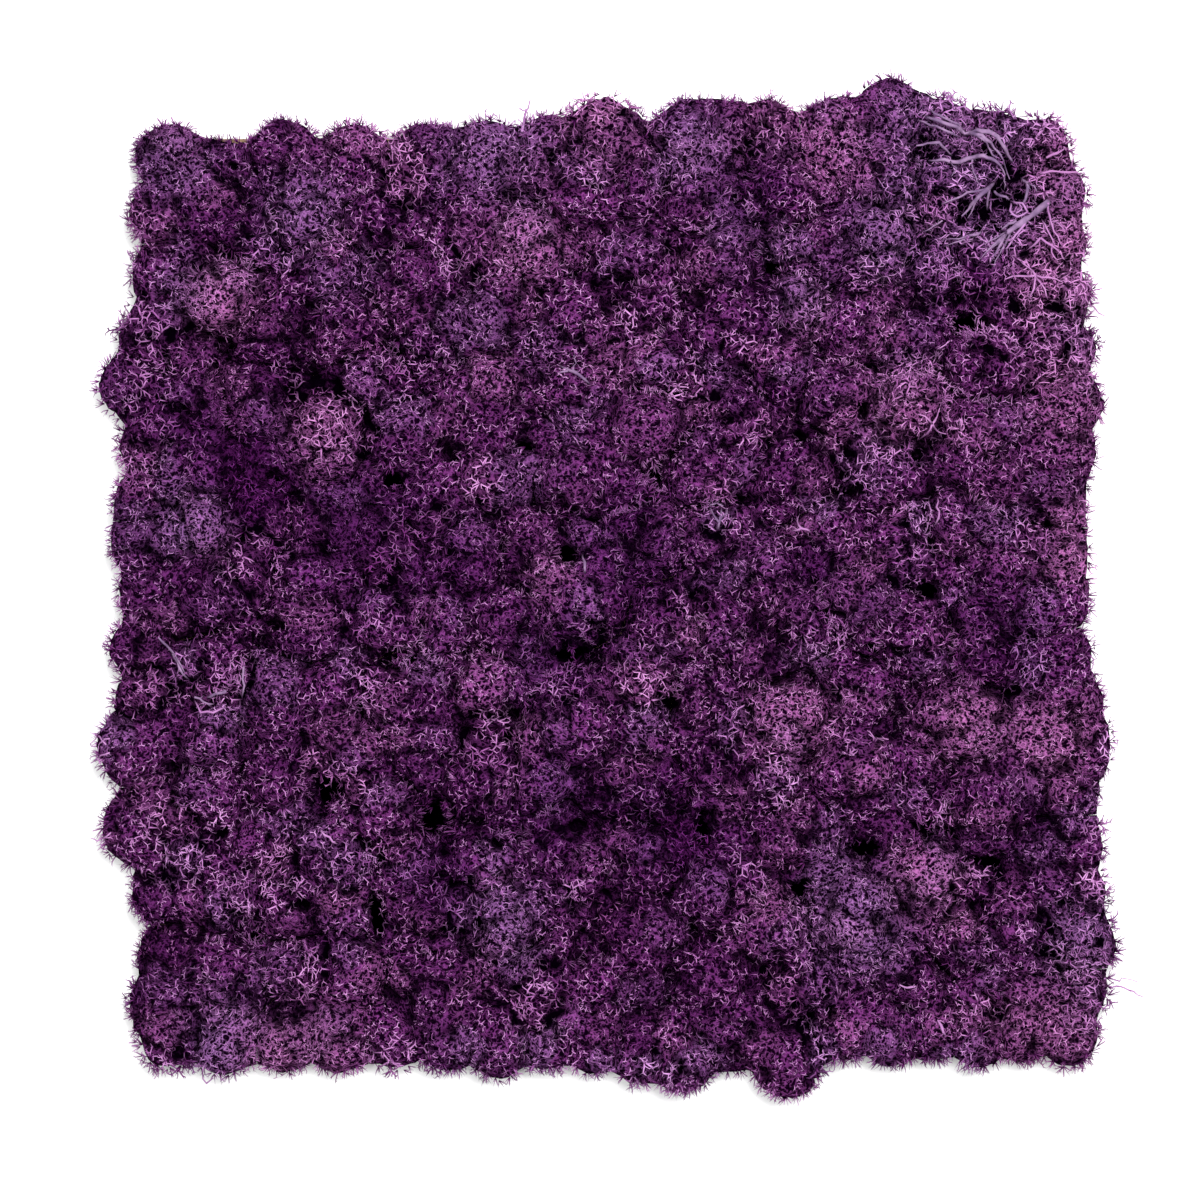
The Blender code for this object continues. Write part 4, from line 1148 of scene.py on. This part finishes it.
def dress_tuft(name, node, neighbours, tree, seed, stalks):
    """The piece that stands for one tuft."""
    bed = make_bed(name, node, neighbours)
    growing = bed.modifiers.new("moss", "NODES")
    growing.node_group = tree
    for item in tree.interface.items_tree:
        if item.in_out == "INPUT" and item.name == "Seed":
            growing[item.identifier] = seed
    bpy.context.view_layer.update()
    grown = bed.evaluated_get(bpy.context.evaluated_depsgraph_get())
    result = bpy.data.meshes.new_from_object(grown)
    result.name = name + "_moss"
    bpy.data.objects.remove(bed)
    settle(result)
    add_stalks(result, stalks)
    tint(result)
    piece = bpy.data.objects.new(name + "_moss", result)
    bpy.context.scene.collection.objects.link(piece)
    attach(piece, "root")
    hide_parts(name)


def vertex_places(data):
    points = np.empty(len(data.vertices) * 3, dtype=np.float32)
    data.vertices.foreach_get("co", points)
    return points.reshape(-1, 3)


def kept_numbers(data, key):
    numbers = np.zeros(len(data.vertices), dtype=np.float32)
    data.attributes[key].data.foreach_get("value", numbers)
    return numbers


def settle(data):
    """Lets the grown moss sink between its clumps, and writes its painted shade there (in creases, gaps and
    pits) and how pale it is.
    """
    points = vertex_places(data)
    sunk, dark, pale, clump = clumps_at(points)
    upward = 1 - kept_numbers(data, "outward")
    points[:, 2] -= sunk * (0.15 + 0.85 * upward)
    points[:, 2] = np.maximum(points[:, 2], LOWEST - HANG)
    data.vertices.foreach_set("co", points.ravel())
    write(data, "stalk", np.zeros(len(data.vertices)))
    # painted shade: darkest on the upward moss in creases and gaps, and black in the pits
    write(data, "painted_hollow_shade", np.clip(dark * (0.3 + 0.7 * upward) + kept_numbers(data, "pit"), 0, 1))
    write(data, "pale", pale)
    write(data, "clump", (clump * TINT_STEP) % 1)


def tint(data):
    """Keeps the moss to about the frame's height, and writes where its colour leans another way."""
    points = vertex_places(data)
    points[:, 2] = np.clip(points[:, 2], cad_bounds[0].z + 1 * MM, cad_bounds[1].z + 1 * MM)
    data.vertices.foreach_set("co", points.ravel())
    write(data, "lavender", patches(points, LAVENDER_AT))
    write(data, "pink", patches(points, PINK_AT))
    write(data, "deep", patches(points, DEEP_AT))


# The scene


def add_floor():
    bpy.ops.mesh.primitive_plane_add(size=FLOOR_SIZE)
    floor = bpy.context.active_object
    floor.name = "studio_floor"
    floor.data.materials.append(floor_material())


def add_light():
    world = bpy.data.worlds.new("studio")
    bpy.context.scene.world = world
    world.use_nodes = True
    world.node_tree.nodes["Background"].inputs["Color"].default_value = (1, 1, 1, 1)
    world.node_tree.nodes["Background"].inputs["Strength"].default_value = SKY_STRENGTH
    for place, size, power in SOFTBOXES:
        data = bpy.data.lights.new("softbox", "AREA")
        data.shape = "DISK"
        data.size = size
        data.energy = power
        lamp = bpy.data.objects.new("softbox", data)
        lamp.location = place
        lamp.rotation_euler = (-Vector(place)).to_track_quat("-Z", "Y").to_euler()
        bpy.context.scene.collection.objects.link(lamp)


def add_camera():
    data = bpy.data.cameras.new("from_above")
    data.sensor_width = 36
    data.lens = data.sensor_width * CAMERA_DISTANCE / (PHOTO_WIDTH * PIXEL)
    camera = bpy.data.objects.new("from_above", data)
    middle = spot(PHOTO_WIDTH / 2, PHOTO_WIDTH / 2)
    camera.location = (middle.x, middle.y, CAMERA_DISTANCE + CAMERA_LEVEL)
    bpy.context.scene.collection.objects.link(camera)
    bpy.context.scene.camera = camera


def main():
    bpy.context.scene.view_settings.view_transform = "Standard"
    add_camera()
    add_light()
    add_floor()

    moss = moss_material()
    kinds = {}
    for seed, (kind, (count, spacing, shape)) in enumerate(SPRIGS.items(), 2):
        grow = grow_bush if kind == "fringe" else grow_sprig
        kinds[kind] = (sprig_collection(kind + "_sprigs", grow, moss, count, seed, **shape), spacing)
    tree = growth_tree("moss_growth", kinds, moss, felt_material())

    board = frame["nodes"]["backing_board"]
    board.data.materials.clear()
    board.data.materials.append(board_material())

    tufts = {name: node for name, node in frame["nodes"].items() if name.startswith("moss_tuft")}
    everything = bmesh.new()
    for node in tufts.values():
        everything.from_mesh(node.data)
    neighbours = BVHTree.FromBMesh(everything)
    everything.free()
    boxes = {name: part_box(name) for name in tufts}
    stalks = {name: [] for name in tufts}
    for look, start, stalk in lay_stalks(neighbours):
        stalks[nearest_tuft(spot(*start[:2]), boxes)].append((look, stalk))
    for seed, (name, node) in enumerate(sorted(tufts.items())):
        dress_tuft(name, node, neighbours, tree, seed, stalks[name])
    for collection, spacing in kinds.values():
        for sprig in list(collection.objects):
            bpy.data.objects.remove(sprig)
        bpy.data.collections.remove(collection)


main()
